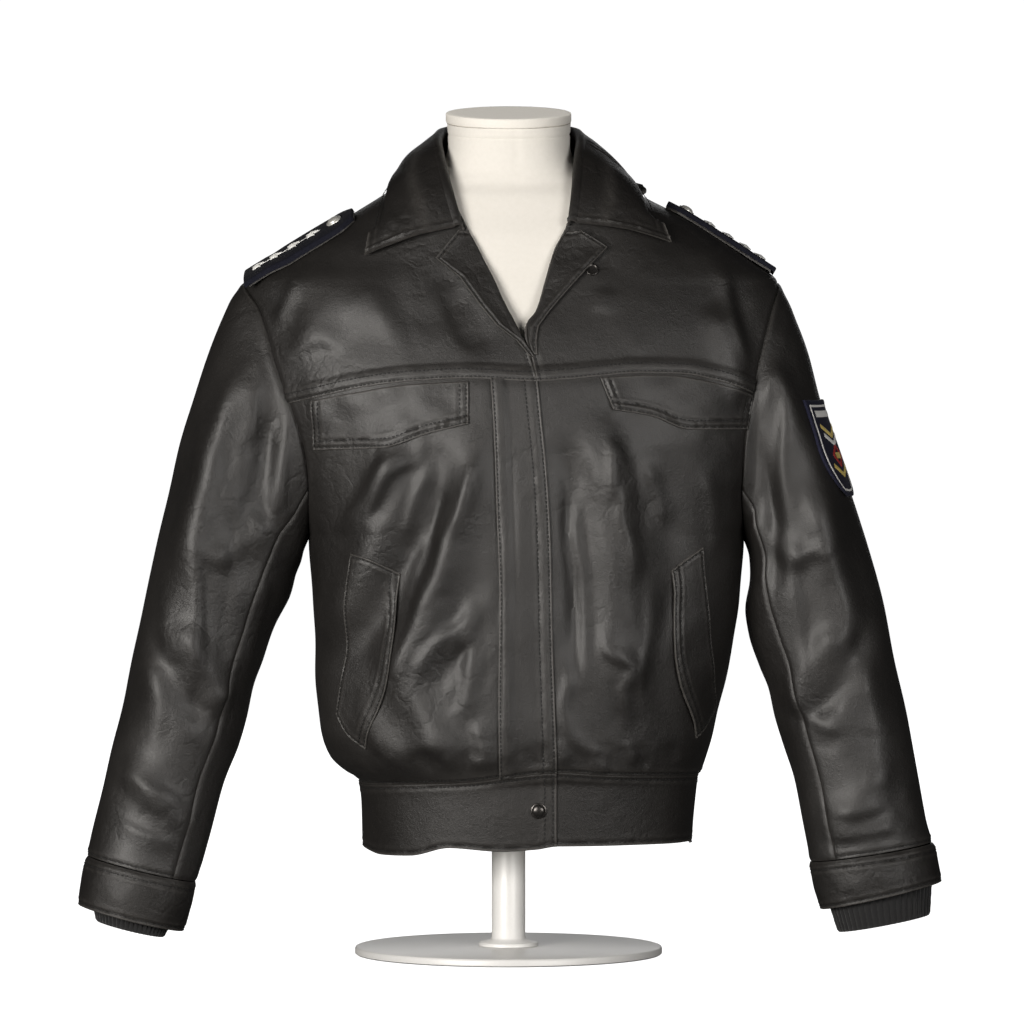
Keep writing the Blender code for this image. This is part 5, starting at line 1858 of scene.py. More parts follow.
@dataclass
class Collar:
    """The turned-down collar, stand and leaf in one."""

    trunk: Trunk
    thread: Thread
    thick: float = 1.9
    lift: float = 6.0
    back_lift: float = 2.0
    bulge: float = 6.0
    roll_radius: float = 4.0
    columns: int = 220

    def lines(self, share: Places) -> tuple[Places, Places, Places, Places]:
        """Foot, roll line and leaf edge along the collar.

        Args:
            share: From -1 at the right end to 1 at the left.

        Returns:
            Foot points, roll points, and the edge's places across and heights.
        """
        along = np.abs(share)
        keys = [row.along for row in RIGHT_COLLAR]
        found = {}
        for name in CollarLine._fields[1:]:
            right = smooth_column(keys, [getattr(row, name) for row in RIGHT_COLLAR], along)
            left = smooth_column(keys, [getattr(row, name) for row in LEFT_COLLAR], along)
            found[name] = np.where(share < 0, right, left)
        side = np.sign(share)
        foot = np.stack([side * found["foot_x"], found["foot_y"], found["foot_z"]], axis=-1)
        roll = np.stack([side * found["roll_x"], found["roll_y"], found["roll_z"]], axis=-1)
        return foot, roll, side * found["edge_x"], found["edge_z"]

    def grid(self) -> Places:
        """The visible surface, from the neckline over the roll to the leaf's edge."""
        between = np.linspace(-0.988, 0.988, self.columns)
        share = np.concatenate([[-1, -0.998, -0.994], between, [0.994, 0.998, 1]])
        foot, roll, edge_x, edge_z = self.lines(share)
        blend = soft_step((np.abs(share) - 0.42) / 0.16)
        front, back = angle_at(edge_x, edge_z, True), angle_at(edge_x, edge_z, False)
        angle = back * (1 - blend) + front * blend
        edge_z = self._over_shoulder(share, angle, edge_x, edge_z)
        bare = bare_trunk(angle, edge_z)
        normal = slope_normals(bare_trunk, angle, edge_z, 0.02, 2.0)
        lift = self.back_lift + (self.lift - self.back_lift) * soft_step((np.abs(share) - 0.7) / 0.2)
        edge = bare + normal * (lift + self.trunk.relief(angle, bare, True))[..., None]
        away = edge - roll
        away[:, 2] = 0
        away = away / np.linalg.norm(away, axis=-1, keepdims=True)
        up = np.array([0.0, 0.0, 1.0])
        lines = [foot * (1 - t) + roll * t for t in np.linspace(0, 1, 12)]
        for at in np.linspace(0, math.radians(150), 12)[1:]:
            out = away * self.roll_radius * (1 - math.cos(at))
            lines.append(roll + out + up * self.roll_radius * math.sin(at))
        start = lines[-1]
        chord = edge - start
        sideways = np.cross(np.gradient(edge, axis=0), chord)
        sideways = sideways / np.linalg.norm(sideways, axis=-1, keepdims=True)
        sideways = sideways * np.sign(sideways[:, 2:3] + 1e-9)
        for t in spaced(70.0, 1.8)[1:]:
            lines.append(start + chord * t + sideways * self.bulge * 4 * t * (1 - t))
        return np.stack(lines)

    @staticmethod
    def _over_shoulder(share: Places, angle: Places, edge_x: Places, edge_z: Places) -> Places:
        """Heights of the leaf's edge, raised where it crosses the shoulder so that it keeps its width."""
        low, high = edge_z - 5.0, edge_z + 40.0
        for _ in range(30):
            z = (low + high) / 2
            is_wide = np.abs(bare_trunk(angle, z)[..., 0]) > np.abs(edge_x)
            low, high = np.where(is_wide, z, low), np.where(is_wide, high, z)
        near = np.exp(-(((np.abs(share) - 0.5) / 0.13) ** 4))
        return edge_z * (1 - near) + (low + high) / 2 * near

    def build(self, under: Sequence[bpy.types.Object]) -> bpy.types.Object:
        """Makes the collar over the pieces that it lies on.

        Args:
            under: Those pieces.

        Returns:
            The collar.
        """
        grid = self.grid()
        normal = grid_normals(grid)
        if normal[-3, self.columns // 2, 2] < 0:
            normal = -normal
        first, _ = arc_shares(grid, 0)
        leaf = soft_step((first - 40) / 14)
        folds = CreaseSet(71)
        folds.add((-140, -45, 705, 765), 22, 55, 30, (14, 44), (0.35, 1.1), (2.5, 6))
        folds.add((45, 150, 715, 765), 22, -55, 30, (14, 44), (0.35, 1.1), (2.5, 6))
        wave = ridge_height(folds.folds, grid[..., 0], grid[..., 2]) * np.where(grid[..., 1] < 30, 1, 0.4)
        wave = wave + Ripple(seed=72, shortest=24, longest=70, height=0.5).at(*np.moveaxis(grid, -1, 0))
        cloth = Cloth(
            "collar", grid + normal * (wave * leaf)[..., None], normal, self.thick,
            Edges(Edge.TUCKED, Edge.FREE, Edge.FREE, Edge.FREE),
        )
        cloth.finish_edges()
        roll_rub = 0.35 * np.exp(-(((first - 50) / 7) ** 2))
        cloth.wear = np.maximum(cloth.wear, roll_rub)
        inset = 6.5
        sides = (Side.LAST_ROW, Side.FIRST_COLUMN, Side.LAST_COLUMN)
        sew(cloth, self.thread, [(side, inset) for side in sides], inset)
        half = len(grid) // 2
        inner = cloth.outer[half:] - cloth.normal[half:] * cloth.thick
        rise = stand_off(inner, cloth.normal[half:], under, 0.4, 3, 7.0)
        fade = np.linspace(0, 1, len(inner))[:, None, None]
        cloth.outer[half:] = cloth.outer[half:] + cloth.normal[half:] * rise * soft_step(fade * 4)
        piece = cloth.build(SHADED_BAND_LEATHER.material(), "collar")
        return piece


class LapelRow(NamedTuple):
    """One level of a turned-back front edge: its outer edge and its fold."""

    z: float
    outer: float
    fold: float


RIGHT_LAPEL = (
    LapelRow(604, 21.5, 24.5),
    LapelRow(620, 8, 15.5),
    LapelRow(635, -12, 7),
    LapelRow(657, -30, -4.5),
    LapelRow(683, -49, -17),
    LapelRow(700, -72, -26),
    LapelRow(714, -61, -33),
    LapelRow(728, -49, -41),
)
LEFT_LAPEL = (
    LapelRow(606, 29, 27),
    LapelRow(620, 28, 21),
    LapelRow(634, 30, 20.5),
    LapelRow(650, 42, 30),
    LapelRow(668, 58, 36),
    LapelRow(693, 81, 43.5),
    LapelRow(711, 98, 50),
    LapelRow(727, 72, 59),
)


@dataclass
class Lapels:
    """The fronts' top corners, turned back over the yokes."""

    trunk: Trunk
    thread: Thread
    thick: float = 1.8
    roll_radius: float = 1.7

    def build(self, under: dict[str, bpy.types.Object]) -> dict[str, bpy.types.Object]:
        """Makes both lapels.

        Args:
            under: The yoke under each, by its word.

        Returns:
            The lapels by the same words.
        """
        made = {}
        for word, rows in (("right", RIGHT_LAPEL), ("left", LEFT_LAPEL)):
            keys = [row.z for row in rows]
            z = np.union1d(keys[0] + (keys[-1] - keys[0]) * spaced(125.0, 1.7), keys)
            outer = np.interp(z, keys, [row.outer for row in rows])
            fold = smooth_column(keys, [row.fold for row in rows], z)
            share = spaced(48.0, 1.6)[None, :]
            x = fold[:, None] * (1 - share) + outer[:, None] * share
            z = np.repeat(z[:, None], x.shape[1], axis=1)
            angle = angle_at(x, z)
            bare = bare_trunk(angle, z)
            normal = slope_normals(bare_trunk, angle, z, 0.02, 2.0)
            rise = 0.4 + 4.2 * share**1.3 * soft_step((z - 612) / 60)
            flex = Ripple(seed=81, shortest=20, longest=60, height=0.4).at(x, x * 0, z)
            inner = bare + normal * (self.trunk.relief(angle, bare, True) + rise + flex)[..., None]
            inner = inner + normal * stand_off(inner, normal, [under[word]], 0.35, 3)
            point = inner + normal * self.thick
            point, normal = self._rolled(point, normal)
            cloth = Cloth(
                f"lapel_{word}", point, normal, self.thick, Edges(Edge.FREE, Edge.FREE, Edge.FREE, Edge.FREE)
            )
            cloth.finish_edges()
            sew(cloth, self.thread, [(Side.LAST_COLUMN, 3.2), (Side.LAST_ROW, 3.2)], 4.0)
            piece = cloth.build(SHADED_BAND_LEATHER.material(), cloth.name)
            made[word] = piece
        return made

    def _rolled(self, point: Places, normal: Places) -> tuple[Places, Places]:
        """Adds columns that roll the leather back under itself at the fold."""
        inward = point[:, :1] - point[:, 1:2]
        inward = inward / np.linalg.norm(inward, axis=-1, keepdims=True)
        first, up = point[:, :1], normal[:, :1]
        points, normals = [], []
        for at in np.linspace(math.radians(160), 0, 9)[:-1]:
            points.append(first + (up * (math.cos(at) - 1) + inward * math.sin(at)) * self.roll_radius)
            normals.append(up * math.cos(at) + inward * math.sin(at))
        return np.concatenate(points + [point], axis=1), np.concatenate(normals + [normal], axis=1)


def ruled(top: Sequence, bottom: Sequence, columns: Places, rows: Places) -> Places:
    """A grid of places between two polylines of corners.

    Args:
        top: The upper line's corners.
        bottom: The lower line's corners.
        columns: Shares along the lines.
        rows: Shares from the upper line to the lower one.

    Returns:
        Pairs of x and z.
    """

    def spread(line: Sequence) -> Places:
        """Places along a line."""
        line = np.array(line, float)
        length = np.concatenate([[0], np.cumsum(np.hypot(*np.diff(line, axis=0).T))])
        keys = length / length[-1]
        return np.stack([smooth_column(keys, line[:, k], columns) for k in (0, 1)], axis=-1)

    v = rows[:, None, None]
    return spread(top) * (1 - v) + spread(bottom) * v


@dataclass(frozen=True)
class FlapPlan:
    """A pocket flap's outline: corners of its top and bottom lines."""

    name: str
    top: tuple[tuple[float, float], ...]
    bottom: tuple[tuple[float, float], ...]
    is_chest: bool
    side: int


FLAPS = (
    FlapPlan(
        "chest_flap_right", ((-196.5, 560), (-150, 569), (-95, 577), (-39.6, 580)),
        ((-192, 511.3), (-123, 514.4), (-80, 528), (-39.4, 538)), True, -1,
    ),
    FlapPlan(
        "chest_flap_left", ((91, 584), (150, 586), (200, 579), (243, 565)),
        ((103.7, 552), (140, 546), (180, 532), (236.6, 531.6)), True, 1,
    ),
    FlapPlan(
        "hand_flap_right", ((-152.5, 408.6), (-138, 405), (-109.5, 388)),
        ((-169, 247), (-158, 225), (-142, 212.5)), False, -1,
    ),
    FlapPlan(
        "hand_flap_left", ((164, 391.4), (180, 404), (193.6, 414)),
        ((187, 222), (196, 232), (207, 252)), False, 1,
    ),
)


@dataclass
class PocketFlaps:
    """Chest pocket flaps and slanting hand pocket flaps."""

    trunk: Trunk
    thread: Thread
    thick: float = 1.8

    def build(self, under: dict[str, bpy.types.Object]) -> dict[str, bpy.types.Object]:
        """Makes the four flaps.

        Args:
            under: Every piece that may be under one, by its name.

        Returns:
            The flaps by name.
        """
        made = {}
        for plan in FLAPS:
            across, down = (150.0, 45.0) if plan.is_chest else (48.0, 190.0)
            columns, rows = spaced(across, 1.9), spaced(down, 1.9)
            places = ruled(plan.top, plan.bottom, columns, rows)
            if not plan.is_chest:
                self._bend(places, plan.side, columns, rows)
            x, z = places[..., 0], places[..., 1]
            angle = angle_at(x, z)
            bare = bare_trunk(angle, z)
            normal = slope_normals(bare_trunk, angle, z, 0.02, 2.0)
            flex = Ripple(seed=len(made) + 40, shortest=24, longest=60, height=0.7).at(x, x * 0, z)
            flex = flex + self._stand(plan, columns, rows)
            inner = bare + normal * (self.trunk.relief(angle, bare, True) + 0.3 + flex)[..., None]
            word = plan.name.split("_")[-1]
            below = [under[f"front_{word}"]]
            if plan.is_chest:
                below += [under[f"yoke_front_{word}"], under[f"sleeve_top_{word}"]]
            inner = inner + normal * stand_off(inner, normal, below, 0.35)
            free = Edge.FREE
            edges = Edges(free, free, free, free)
            cloth = Cloth(plan.name, inner + normal * self.thick, normal, self.thick, edges)
            cloth.finish_edges()
            sew(cloth, self.thread, self._rows(plan), 2.6)
            piece = cloth.build(LEATHER.material(), plan.name)
            made[plan.name] = piece
        return made

    @staticmethod
    def _rows(plan: FlapPlan) -> list[tuple[Side, float]]:
        """The stitch rows, each by its side and its distance from it."""
        if plan.is_chest:
            sides = (Side.LAST_ROW, Side.FIRST_COLUMN, Side.LAST_COLUMN)
            return [(side, gap) for side in sides for gap in (2.6, 9.5)]
        inner, outer = (Side.LAST_COLUMN, Side.FIRST_COLUMN)[:: -plan.side]
        return [(inner, 2.8), (inner, 10.0), (outer, 2.6), (Side.FIRST_ROW, 3.0), (Side.LAST_ROW, 3.0)]

    @staticmethod
    def _stand(plan: FlapPlan, columns: Places, rows: Places) -> Places:
        """How far a flap stands off towards its free side."""
        down, across = rows[:, None], columns[None, :]
        if plan.is_chest:
            return 1.9 * down**1.5
        inward = across if plan.side < 0 else 1 - across
        return 2.6 * inward**1.5 * soft_step(down / 0.15) * soft_step((1 - down) / 0.1)

    @staticmethod
    def _bend(places: Places, side: int, columns: Places, rows: Places) -> None:
        """Bends the free edge, which stays upright to two thirds down and then slants in."""
        down = rows[:, None]
        inward = columns[None, :] if side < 0 else 1 - columns[None, :]
        bow = 12.0 * soft_step(down / 0.55) * soft_step((1 - down) / 0.42)
        places[..., 0] = places[..., 0] - side * bow * inward


def height_at(x: Places, y: Places) -> Places:
    """The height of the shoulder under a place seen from above."""
    low, high = np.full(np.shape(x), 640.0), np.full(np.shape(x), 800.0)
    for _ in range(30):
        z = (low + high) / 2
        middle, half, depth = trunk_ring(z, y < 0)
        inside = (np.abs(x - middle) / half) ** ROUNDNESS + (np.abs(y) / depth) ** ROUNDNESS < 1
        low, high = np.where(inside, z, low), np.where(inside, high, z)
    return (low + high) / 2


def strap_height(x: Places, y: Places, middle_y: float) -> Places:
    """The height of a stiff strap: straight across, and straight along past the shoulder's end."""
    reach = np.minimum(np.abs(x), STRAP_STRAIGHT_FROM)
    low = height_at(np.sign(x) * reach, middle_y - STRAP_SPREAD + 0 * y)
    high = height_at(np.sign(x) * reach, middle_y + STRAP_SPREAD + 0 * y)
    lean = (high - low) / (2 * STRAP_SPREAD)
    return (low + high) / 2 + lean * (y - middle_y) - STRAP_DROP * (np.abs(x) - reach)


def strap_surface(x: Places, y: Places, middle_y: float) -> tuple[Places, Places]:
    """Strap points and normals over the shoulder, from a grid seen from above."""
    z = strap_height(x, y, middle_y)
    slope_x = (strap_height(x + 2, y, middle_y) - strap_height(x - 2, y, middle_y)) / 4
    slope_y = (strap_height(x, y + 3, middle_y) - strap_height(x, y - 3, middle_y)) / 6
    normal = np.stack([-slope_x, -slope_y, np.ones_like(z)], axis=-1)
    return np.stack([x, y, z], axis=-1), normal / np.linalg.norm(normal, axis=-1, keepdims=True)


def spun(
    name: str,
    foot: Places,
    normal: Places,
    profile: Sequence[tuple[float, float]],
    material: bpy.types.Material,
    sides: int = 48,
) -> bpy.types.Object:
    """A turned piece: a profile of radius and height spun round a normal.

    Args:
        name: The piece's name.
        foot: The middle of its underside, in millimetres.
        normal: Its axis.
        profile: Radius and height pairs from the underside's rim up to the middle.
        material: Its finish.
        sides: How many sides.

    Returns:
        The piece.
    """
    normal = np.asarray(normal, float) / np.linalg.norm(normal)
    helper = np.array([0.0, 0.0, 1.0]) if abs(normal[2]) < 0.9 else np.array([0.0, 1.0, 0.0])
    first = np.cross(helper, normal)
    first = first / np.linalg.norm(first)
    second = np.cross(normal, first)
    turn = np.linspace(0, 2 * math.pi, sides, endpoint=False)
    spoke = first * np.cos(turn)[:, None] + second * np.sin(turn)[:, None]
    points = [foot + spoke * radius + normal * height for radius, height in profile]
    count = len(profile)
    faces = [tuple(range(sides - 1, -1, -1)), tuple(range((count - 1) * sides, count * sides))]
    for ring in range(count - 1):
        for k in range(sides):
            n = (k + 1) % sides
            faces.append((ring * sides + k, ring * sides + n, (ring + 1) * sides + n, (ring + 1) * sides + k))
    return make_piece(name, np.concatenate(points), faces, material, sharp=50.0)


def dome_profile(radius: float, height: float, rim: float) -> list[tuple[float, float]]:
    """A button's profile: an upright rim, a small step and a dome."""
    found = [(radius, 0.0), (radius, height * 0.24), (radius - 0.25, height * 0.32)]
    inside = radius - rim - 0.5
    found += [(radius - rim, height * 0.34), (radius - rim - 0.2, height * 0.27), (inside, height * 0.34)]
    for t in np.linspace(0.12, 1, 10)[:-1]:
        at = t * math.pi / 2
        found.append((inside * math.cos(at), height * (0.34 + 0.66 * math.sin(at))))
    return found + [(0.02, height)]


STRAP_STRAIGHT_FROM = 240.0
STRAP_DROP = 0.62
STRAP_SPREAD = 12.0
STRAPS = {"right": (-1, 259.0, -27.0), "left": (1, 263.0, 8.0)}


@dataclass
class ShoulderStraps:
    """Leather shoulder straps, the cloth boards over them, their stars and their buttons."""

    thread: Thread
    length: float = 126.0
    strap_half: float = 23.0
    board_half: float = 24.5
    strap_thick: float = 2.2
    board_thick: float = 3.2
    star_radius: float = 7.4
    star_places: tuple[float, ...] = (20.0, 39.5, 60.0, 81.0)
    cord_radius: float = 0.4
    star_column: float = 0.46
    button_share: float = 0.84

    def grid(
        self, side: int, outer_x: float, middle_y: float, length: float, half: float
    ) -> tuple[Places, Places]:
        """Places of a strap from its sleeve end to its pointed neck end, seen from above."""
        along, across = spaced(length, 1.8)[:, None], spaced(2 * half, 1.6)[None, :] * 2 - 1
        point = soft_step((along - 0.86) / 0.3) * 2.2
        width = half * (1 - 0.12 * along) * (1 - 0.45 * np.clip(point, 0, 1))
        x = outer_x - length * 0.86 * along
        return side * (x + 0 * across), middle_y + width * across

    def build(self, under: dict[str, bpy.types.Object]) -> None:
        """Makes both shoulders' pieces over the pieces that they lie on.

        Args:
            under: The jacket's pieces by name.
        """
        for word, (side, outer_x, middle_y) in STRAPS.items():
            below = [under[f"yoke_front_{word}"], under["yoke_back"], under[f"sleeve_top_{word}"]]
            x, y = self.grid(side, outer_x, middle_y, self.length - 4, self.strap_half)
            point, normal = strap_surface(x, y, middle_y)
            low = point + normal * 0.3
            low = low + normal * stand_off(low, normal, below, 0.4, 4)
            free = Edge.FREE
            strap = Cloth(
                f"shoulder_strap_{word}", low + normal * self.strap_thick, normal, self.strap_thick,
                Edges(free, free, free, free),
            )
            strap.finish_edges()
            sew(strap, self.thread, [(Side.FIRST_COLUMN, 3.0), (Side.LAST_COLUMN, 3.0)])
            made = strap.build(LEATHER.material(), strap.name)
            x, y = self.grid(side, outer_x + 3, middle_y - 1.0, self.length, self.board_half)
            point, normal = strap_surface(x, y, middle_y)
            low = point + normal * 2.5
            low = low + normal * stand_off(low, normal, [made, *below], 0.3, 4)
            bow = 1.4 * (1 - np.linspace(-1, 1, low.shape[1])[None, :] ** 2)
            board = Cloth(
                f"rank_board_{word}", low + normal * (self.board_thick + bow)[..., None], normal,
                self.board_thick, Edges(free, free, free, free),
            )
            board.finish_edges()
            made = board.build(BOARD_CLOTH.material(), board.name)
            self._trim(word, board)

    def _trim(self, word: str, board: Cloth) -> None:
        """Adds the button and the four stars to a board."""
        columns = board.outer.shape[1]
        run, _ = arc_shares(board.outer, 0)
        run = run[:, columns // 2]
        line = int(columns * self.star_column)
        for k, at in enumerate(self.star_places):
            row = int(np.argmin(np.abs(run - at)))
            along = board.outer[row + 2, line] - board.outer[row - 2, line]
            self._star(f"star_{word}_{k + 1}", board.outer[row, line], board.normal[row, line], along)
        self._cord(word, board, run)
        row = int(np.argmin(np.abs(run - run[-1] * self.button_share)))
        foot = board.outer[row, columns // 2] + board.normal[row, columns // 2] * 0.1
        button = spun(
            f"strap_button_{word}", foot, board.normal[row, columns // 2], dome_profile(8.2, 4.3, 1.2),
            SILVER.material(),
        )
        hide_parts(f"strap_button_{word}")

    def _cord(self, word: str, board: Cloth, run: Places) -> None:
        """The thin silver cord that joins the stars and runs a little past them."""
        first, last = self.star_places[0] - 9.0, self.star_places[-1] + 10.0
        keep = (run > first) & (run < last)
        middle = int(board.outer.shape[1] * self.star_column)
        line, up = board.outer[keep, middle], board.normal[keep, middle]
        across = np.cross(np.gradient(line, axis=0), up)
        across = across / np.linalg.norm(across, axis=-1, keepdims=True)
        turns = np.linspace(0, math.pi, 7)
        outer = np.stack(
            [line + (across * math.cos(t) + up * math.sin(t)) * self.cord_radius for t in turns], axis=1
        )
        normal = np.repeat(up[:, None], len(turns), axis=1)
        points = np.concatenate([outer.reshape(-1, 3), (outer - normal * 0.5).reshape(-1, 3)])
        faces = shell_faces(outer.shape[0], outer.shape[1], False)
        make_piece(f"star_cord_{word}", points, faces, STAR_METAL.material())

    def _star(self, name: str, foot: Places, normal: Places, along: Places) -> None:
        """A five-pointed star with a ridge to each point."""
        along = along - normal * float(np.dot(along, normal))
        along = along / np.linalg.norm(along)
        across = np.cross(normal, along)
        low, high = [], []
        for k in range(10):
            turn = math.pi * k / 5
            radius = self.star_radius * (1.0 if k % 2 == 0 else 0.4)
            spoke = (along * math.cos(turn) + across * math.sin(turn)) * radius
            low.append(foot + spoke - normal * 0.4)
            high.append(foot + spoke + normal * (1.3 if k % 2 == 0 else 1.1))
        points = low + high + [foot + normal * 3.0]
        faces = [tuple(range(9, -1, -1))]
        for k in range(10):
            n = (k + 1) % 10
            faces.append((k, n, 10 + n, 10 + k))
            faces.append((10 + k, 10 + n, 20))
        star = make_piece(name, np.array(points), faces, STAR_METAL.material(), sharp=12.0)


@dataclass
class SleevePatch:
    """A shield-shaped cloth patch with a border and plain motifs, on the left sleeve."""

    shape: SleeveShape
    middle_turn: float = math.radians(21.0)
    half_width: float = 37.0
    height: float = 98.0
    top_z: float = 558.5
    thick: float = 1.8

    def half_at(self, down: Places) -> Places:
        """Half the shield's width as a share: straight sides, then a round point."""
        below = np.clip((down - 0.45) / 0.5505, 0, 1)
        return np.where(down < 0.45, 1.0 - 0.06 * down, 0.973 * np.sqrt(1 - below**2.2))

    def build(self, under: bpy.types.Object) -> None:
        """Makes the patch, its border and its motifs.

        Args:
            under: The sleeve piece that it is sewn to.
        """
        down = spaced(self.height, 1.6)[:, None] * 0.985
        across = spaced(2 * self.half_width, 1.6)[None, :] * 2 - 1
        half = self.half_at(down) * self.half_width
        turn = self.middle_turn + across * half / 72.0
        place = self._place(turn, self.top_z - down * self.height)
        bare = self.shape.bare(turn, place)
        normal = slope_normals(self.shape.bare, turn, place, 0.02, 0.004)
        inner = bare + normal * 2.1
        inner = inner + normal * stand_off(inner, normal, [under], 0.3, 3)
        free = Edge.FREE
        edges = Edges(free, free, free, free)
        cloth = Cloth("sleeve_patch", inner + normal * self.thick, normal, self.thick, edges)
        side = (1 - np.abs(across)) * half
        end = np.minimum(down * self.height + 0 * side, (0.985 - down) * self.height * 0.75 + 0 * side)
        away = np.minimum(side, end)
        cloth.outer = cloth.outer + normal * (0.7 * (1 - soft_step((away - 3.4) / 0.9)))[..., None]
        cloth.finish_edges()
        piece = cloth.build(PATCH_CLOTH.material(), "sleeve_patch")
        self.points, self.normals = cloth.outer, normal
        self.across, self.down = across[0], down[:, 0]
        self._motifs()

    def _place(self, turn: Places, height: Places) -> Places:
        """How far down the sleeve each turn reaches a height."""
        low, high = np.zeros(turn.shape), np.full(turn.shape, 0.9)
        for _ in range(30):
            down = (low + high) / 2
            is_above = self.shape.bare(turn, down)[..., 2] > height
            low, high = np.where(is_above, down, low), np.where(is_above, high, down)
        return down

    def at(self, x: Places, drop: Places) -> tuple[Places, Places]:
        """Points and normals of places on the patch.

        Args:
            x: Millimetres right of its middle.
            drop: Millimetres below its top.

        Returns:
            Points and normals.
        """
        down = drop / self.height
        share = x / (self.half_at(down) * self.half_width + 1e-6)
        i = np.clip(np.searchsorted(self.down, down) - 1, 0, len(self.down) - 2)
        j = np.clip(np.searchsorted(self.across, share) - 1, 0, len(self.across) - 2)
        t = ((down - self.down[i]) / (self.down[i + 1] - self.down[i]))[:, None]
        s = ((share - self.across[j]) / (self.across[j + 1] - self.across[j]))[:, None]
        found = []
        for grid in (self.points, self.normals):
            low = grid[i, j] * (1 - s) + grid[i, j + 1] * s
            high = grid[i + 1, j] * (1 - s) + grid[i + 1, j + 1] * s
            found.append(low * (1 - t) + high * t)
        return found[0], found[1]

    def stroke(
        self, name: str, line: Sequence[tuple[float, float]], width: float, finish: Finish, rise: float
    ) -> None:
        """A raised satin-stitched line along places of the patch.

        Args:
            name: The piece's name.
            line: Places by millimetres right of the middle and below the top.
            width: Its width.
            finish: Its thread.
            rise: How far it stands up.
        """
        line = np.array(line, float)
        run = np.concatenate([[0], np.cumsum(np.hypot(*np.diff(line, axis=0).T))])
        at = np.linspace(0, run[-1], max(3, int(run[-1] / 0.9)))
        x, drop = np.interp(at, run, line[:, 0]), np.interp(at, run, line[:, 1])
        way = np.stack([np.gradient(x), np.gradient(drop)], axis=-1)
        way = way / np.maximum(np.hypot(way[:, 0], way[:, 1]), 1e-9)[:, None]
        rows = []
        ups = []
        for share in (-1, -0.85, -0.4, 0.4, 0.85, 1):
            place, normal = self.at(x - way[:, 1] * share * width / 2, drop + way[:, 0] * share * width / 2)
            up = rise * math.sqrt(max(0.0, 1 - share * share * 0.98))
            rows.append(place + normal * up)
            ups.append(normal)
        outer, normal = np.stack(rows, axis=1), np.stack(ups, axis=1)
        base = outer - normal * (rise + 0.5)
        points = np.concatenate([outer.reshape(-1, 3), base.reshape(-1, 3)])
        faces = shell_faces(outer.shape[0], outer.shape[1], False)
        make_piece(name, points, faces, finish.material())

    def _motifs(self) -> None:
        """The border line and plain motifs inside it."""
        edge = []
        for drop in np.linspace(6, 90, 40):
            down = drop / self.height
            edge.append((self.half_at(np.array(down)) * self.half_width - 6.5, drop))
        right = [(float(w), d) for w, d in edge if w > 0.6]
        left = [(-w, d) for w, d in reversed(right)]
        outline = [(-right[0][0], 6.0), *right[:1], *right, (0.0, right[-1][1] + 1.0), *left]
        self.stroke("patch_border_line", outline, 2.2, WHITE_THREAD, 0.5)
        self.stroke("patch_top_bar", [(-24, 14), (24, 14)], 6.5, WHITE_THREAD, 0.6)
        for k, (half, drop, finish) in enumerate(
            ((21, 26, GOLD_THREAD), (19, 35, WHITE_THREAD), (19, 66, GOLD_THREAD))
        ):
            line = [(-half, drop), (0, drop + half * 0.5), (half, drop)]
            self.stroke(f"patch_chevron_{k + 1}", line, 4.6, finish, 0.7)
        lozenge = [(0, 46), (12, 56), (0, 66), (-12, 56), (0, 46)]
        self.stroke("patch_lozenge", lozenge, 3.6, RED_THREAD, 0.7)
        self.stroke("patch_lozenge_bar", [(-6, 56), (6, 56)], 6.0, GOLD_THREAD, 0.7)


@dataclass
class Fasteners:
    """The press stud on the hem band and the button under the left lapel."""

    trunk: Trunk

    def build(self, hem: bpy.types.Object, yoke: bpy.types.Object) -> None:
        """Makes them over the pieces that they sit on.

        Args:
            hem: The hem band's right front.
            yoke: The left front yoke.
        """
        foot, normal = self._foot(30.0, 153.0, hem)
        stud = spun("press_stud", foot, normal, dome_profile(8.0, 3.4, 1.5), GUNMETAL.material())
        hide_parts("press_stud")
        foot, normal = self._foot(83.0, 690.0, yoke)
        profile = [(6.5, 0.0), (6.5, 1.3), (6.1, 1.9), (5.4, 2.1), (4.6, 1.6), (3.9, 1.3), (0.02, 1.25)]
        button = spun("lapel_button", foot, normal, profile, GUNMETAL.material())
        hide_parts("lapel_button")

    def _foot(self, x: float, z: float, under: bpy.types.Object) -> tuple[Places, Places]:
        """Where a fastener stands on a piece, and its axis."""
        angle = angle_at(np.array([[x]]), np.array([[z]]))
        bare = bare_trunk(angle, np.array([[z]]))
        normal = slope_normals(bare_trunk, angle, np.array([[z]]), 0.02, 2.0)
        return (bare + normal * stand_off(bare, normal, [under], 0.0, 0))[0, 0], normal[0, 0]


class FormSection(NamedTuple):
    """One level section of the dress form."""

    z: float
    middle: float
    half: float
    front: float
    back: float


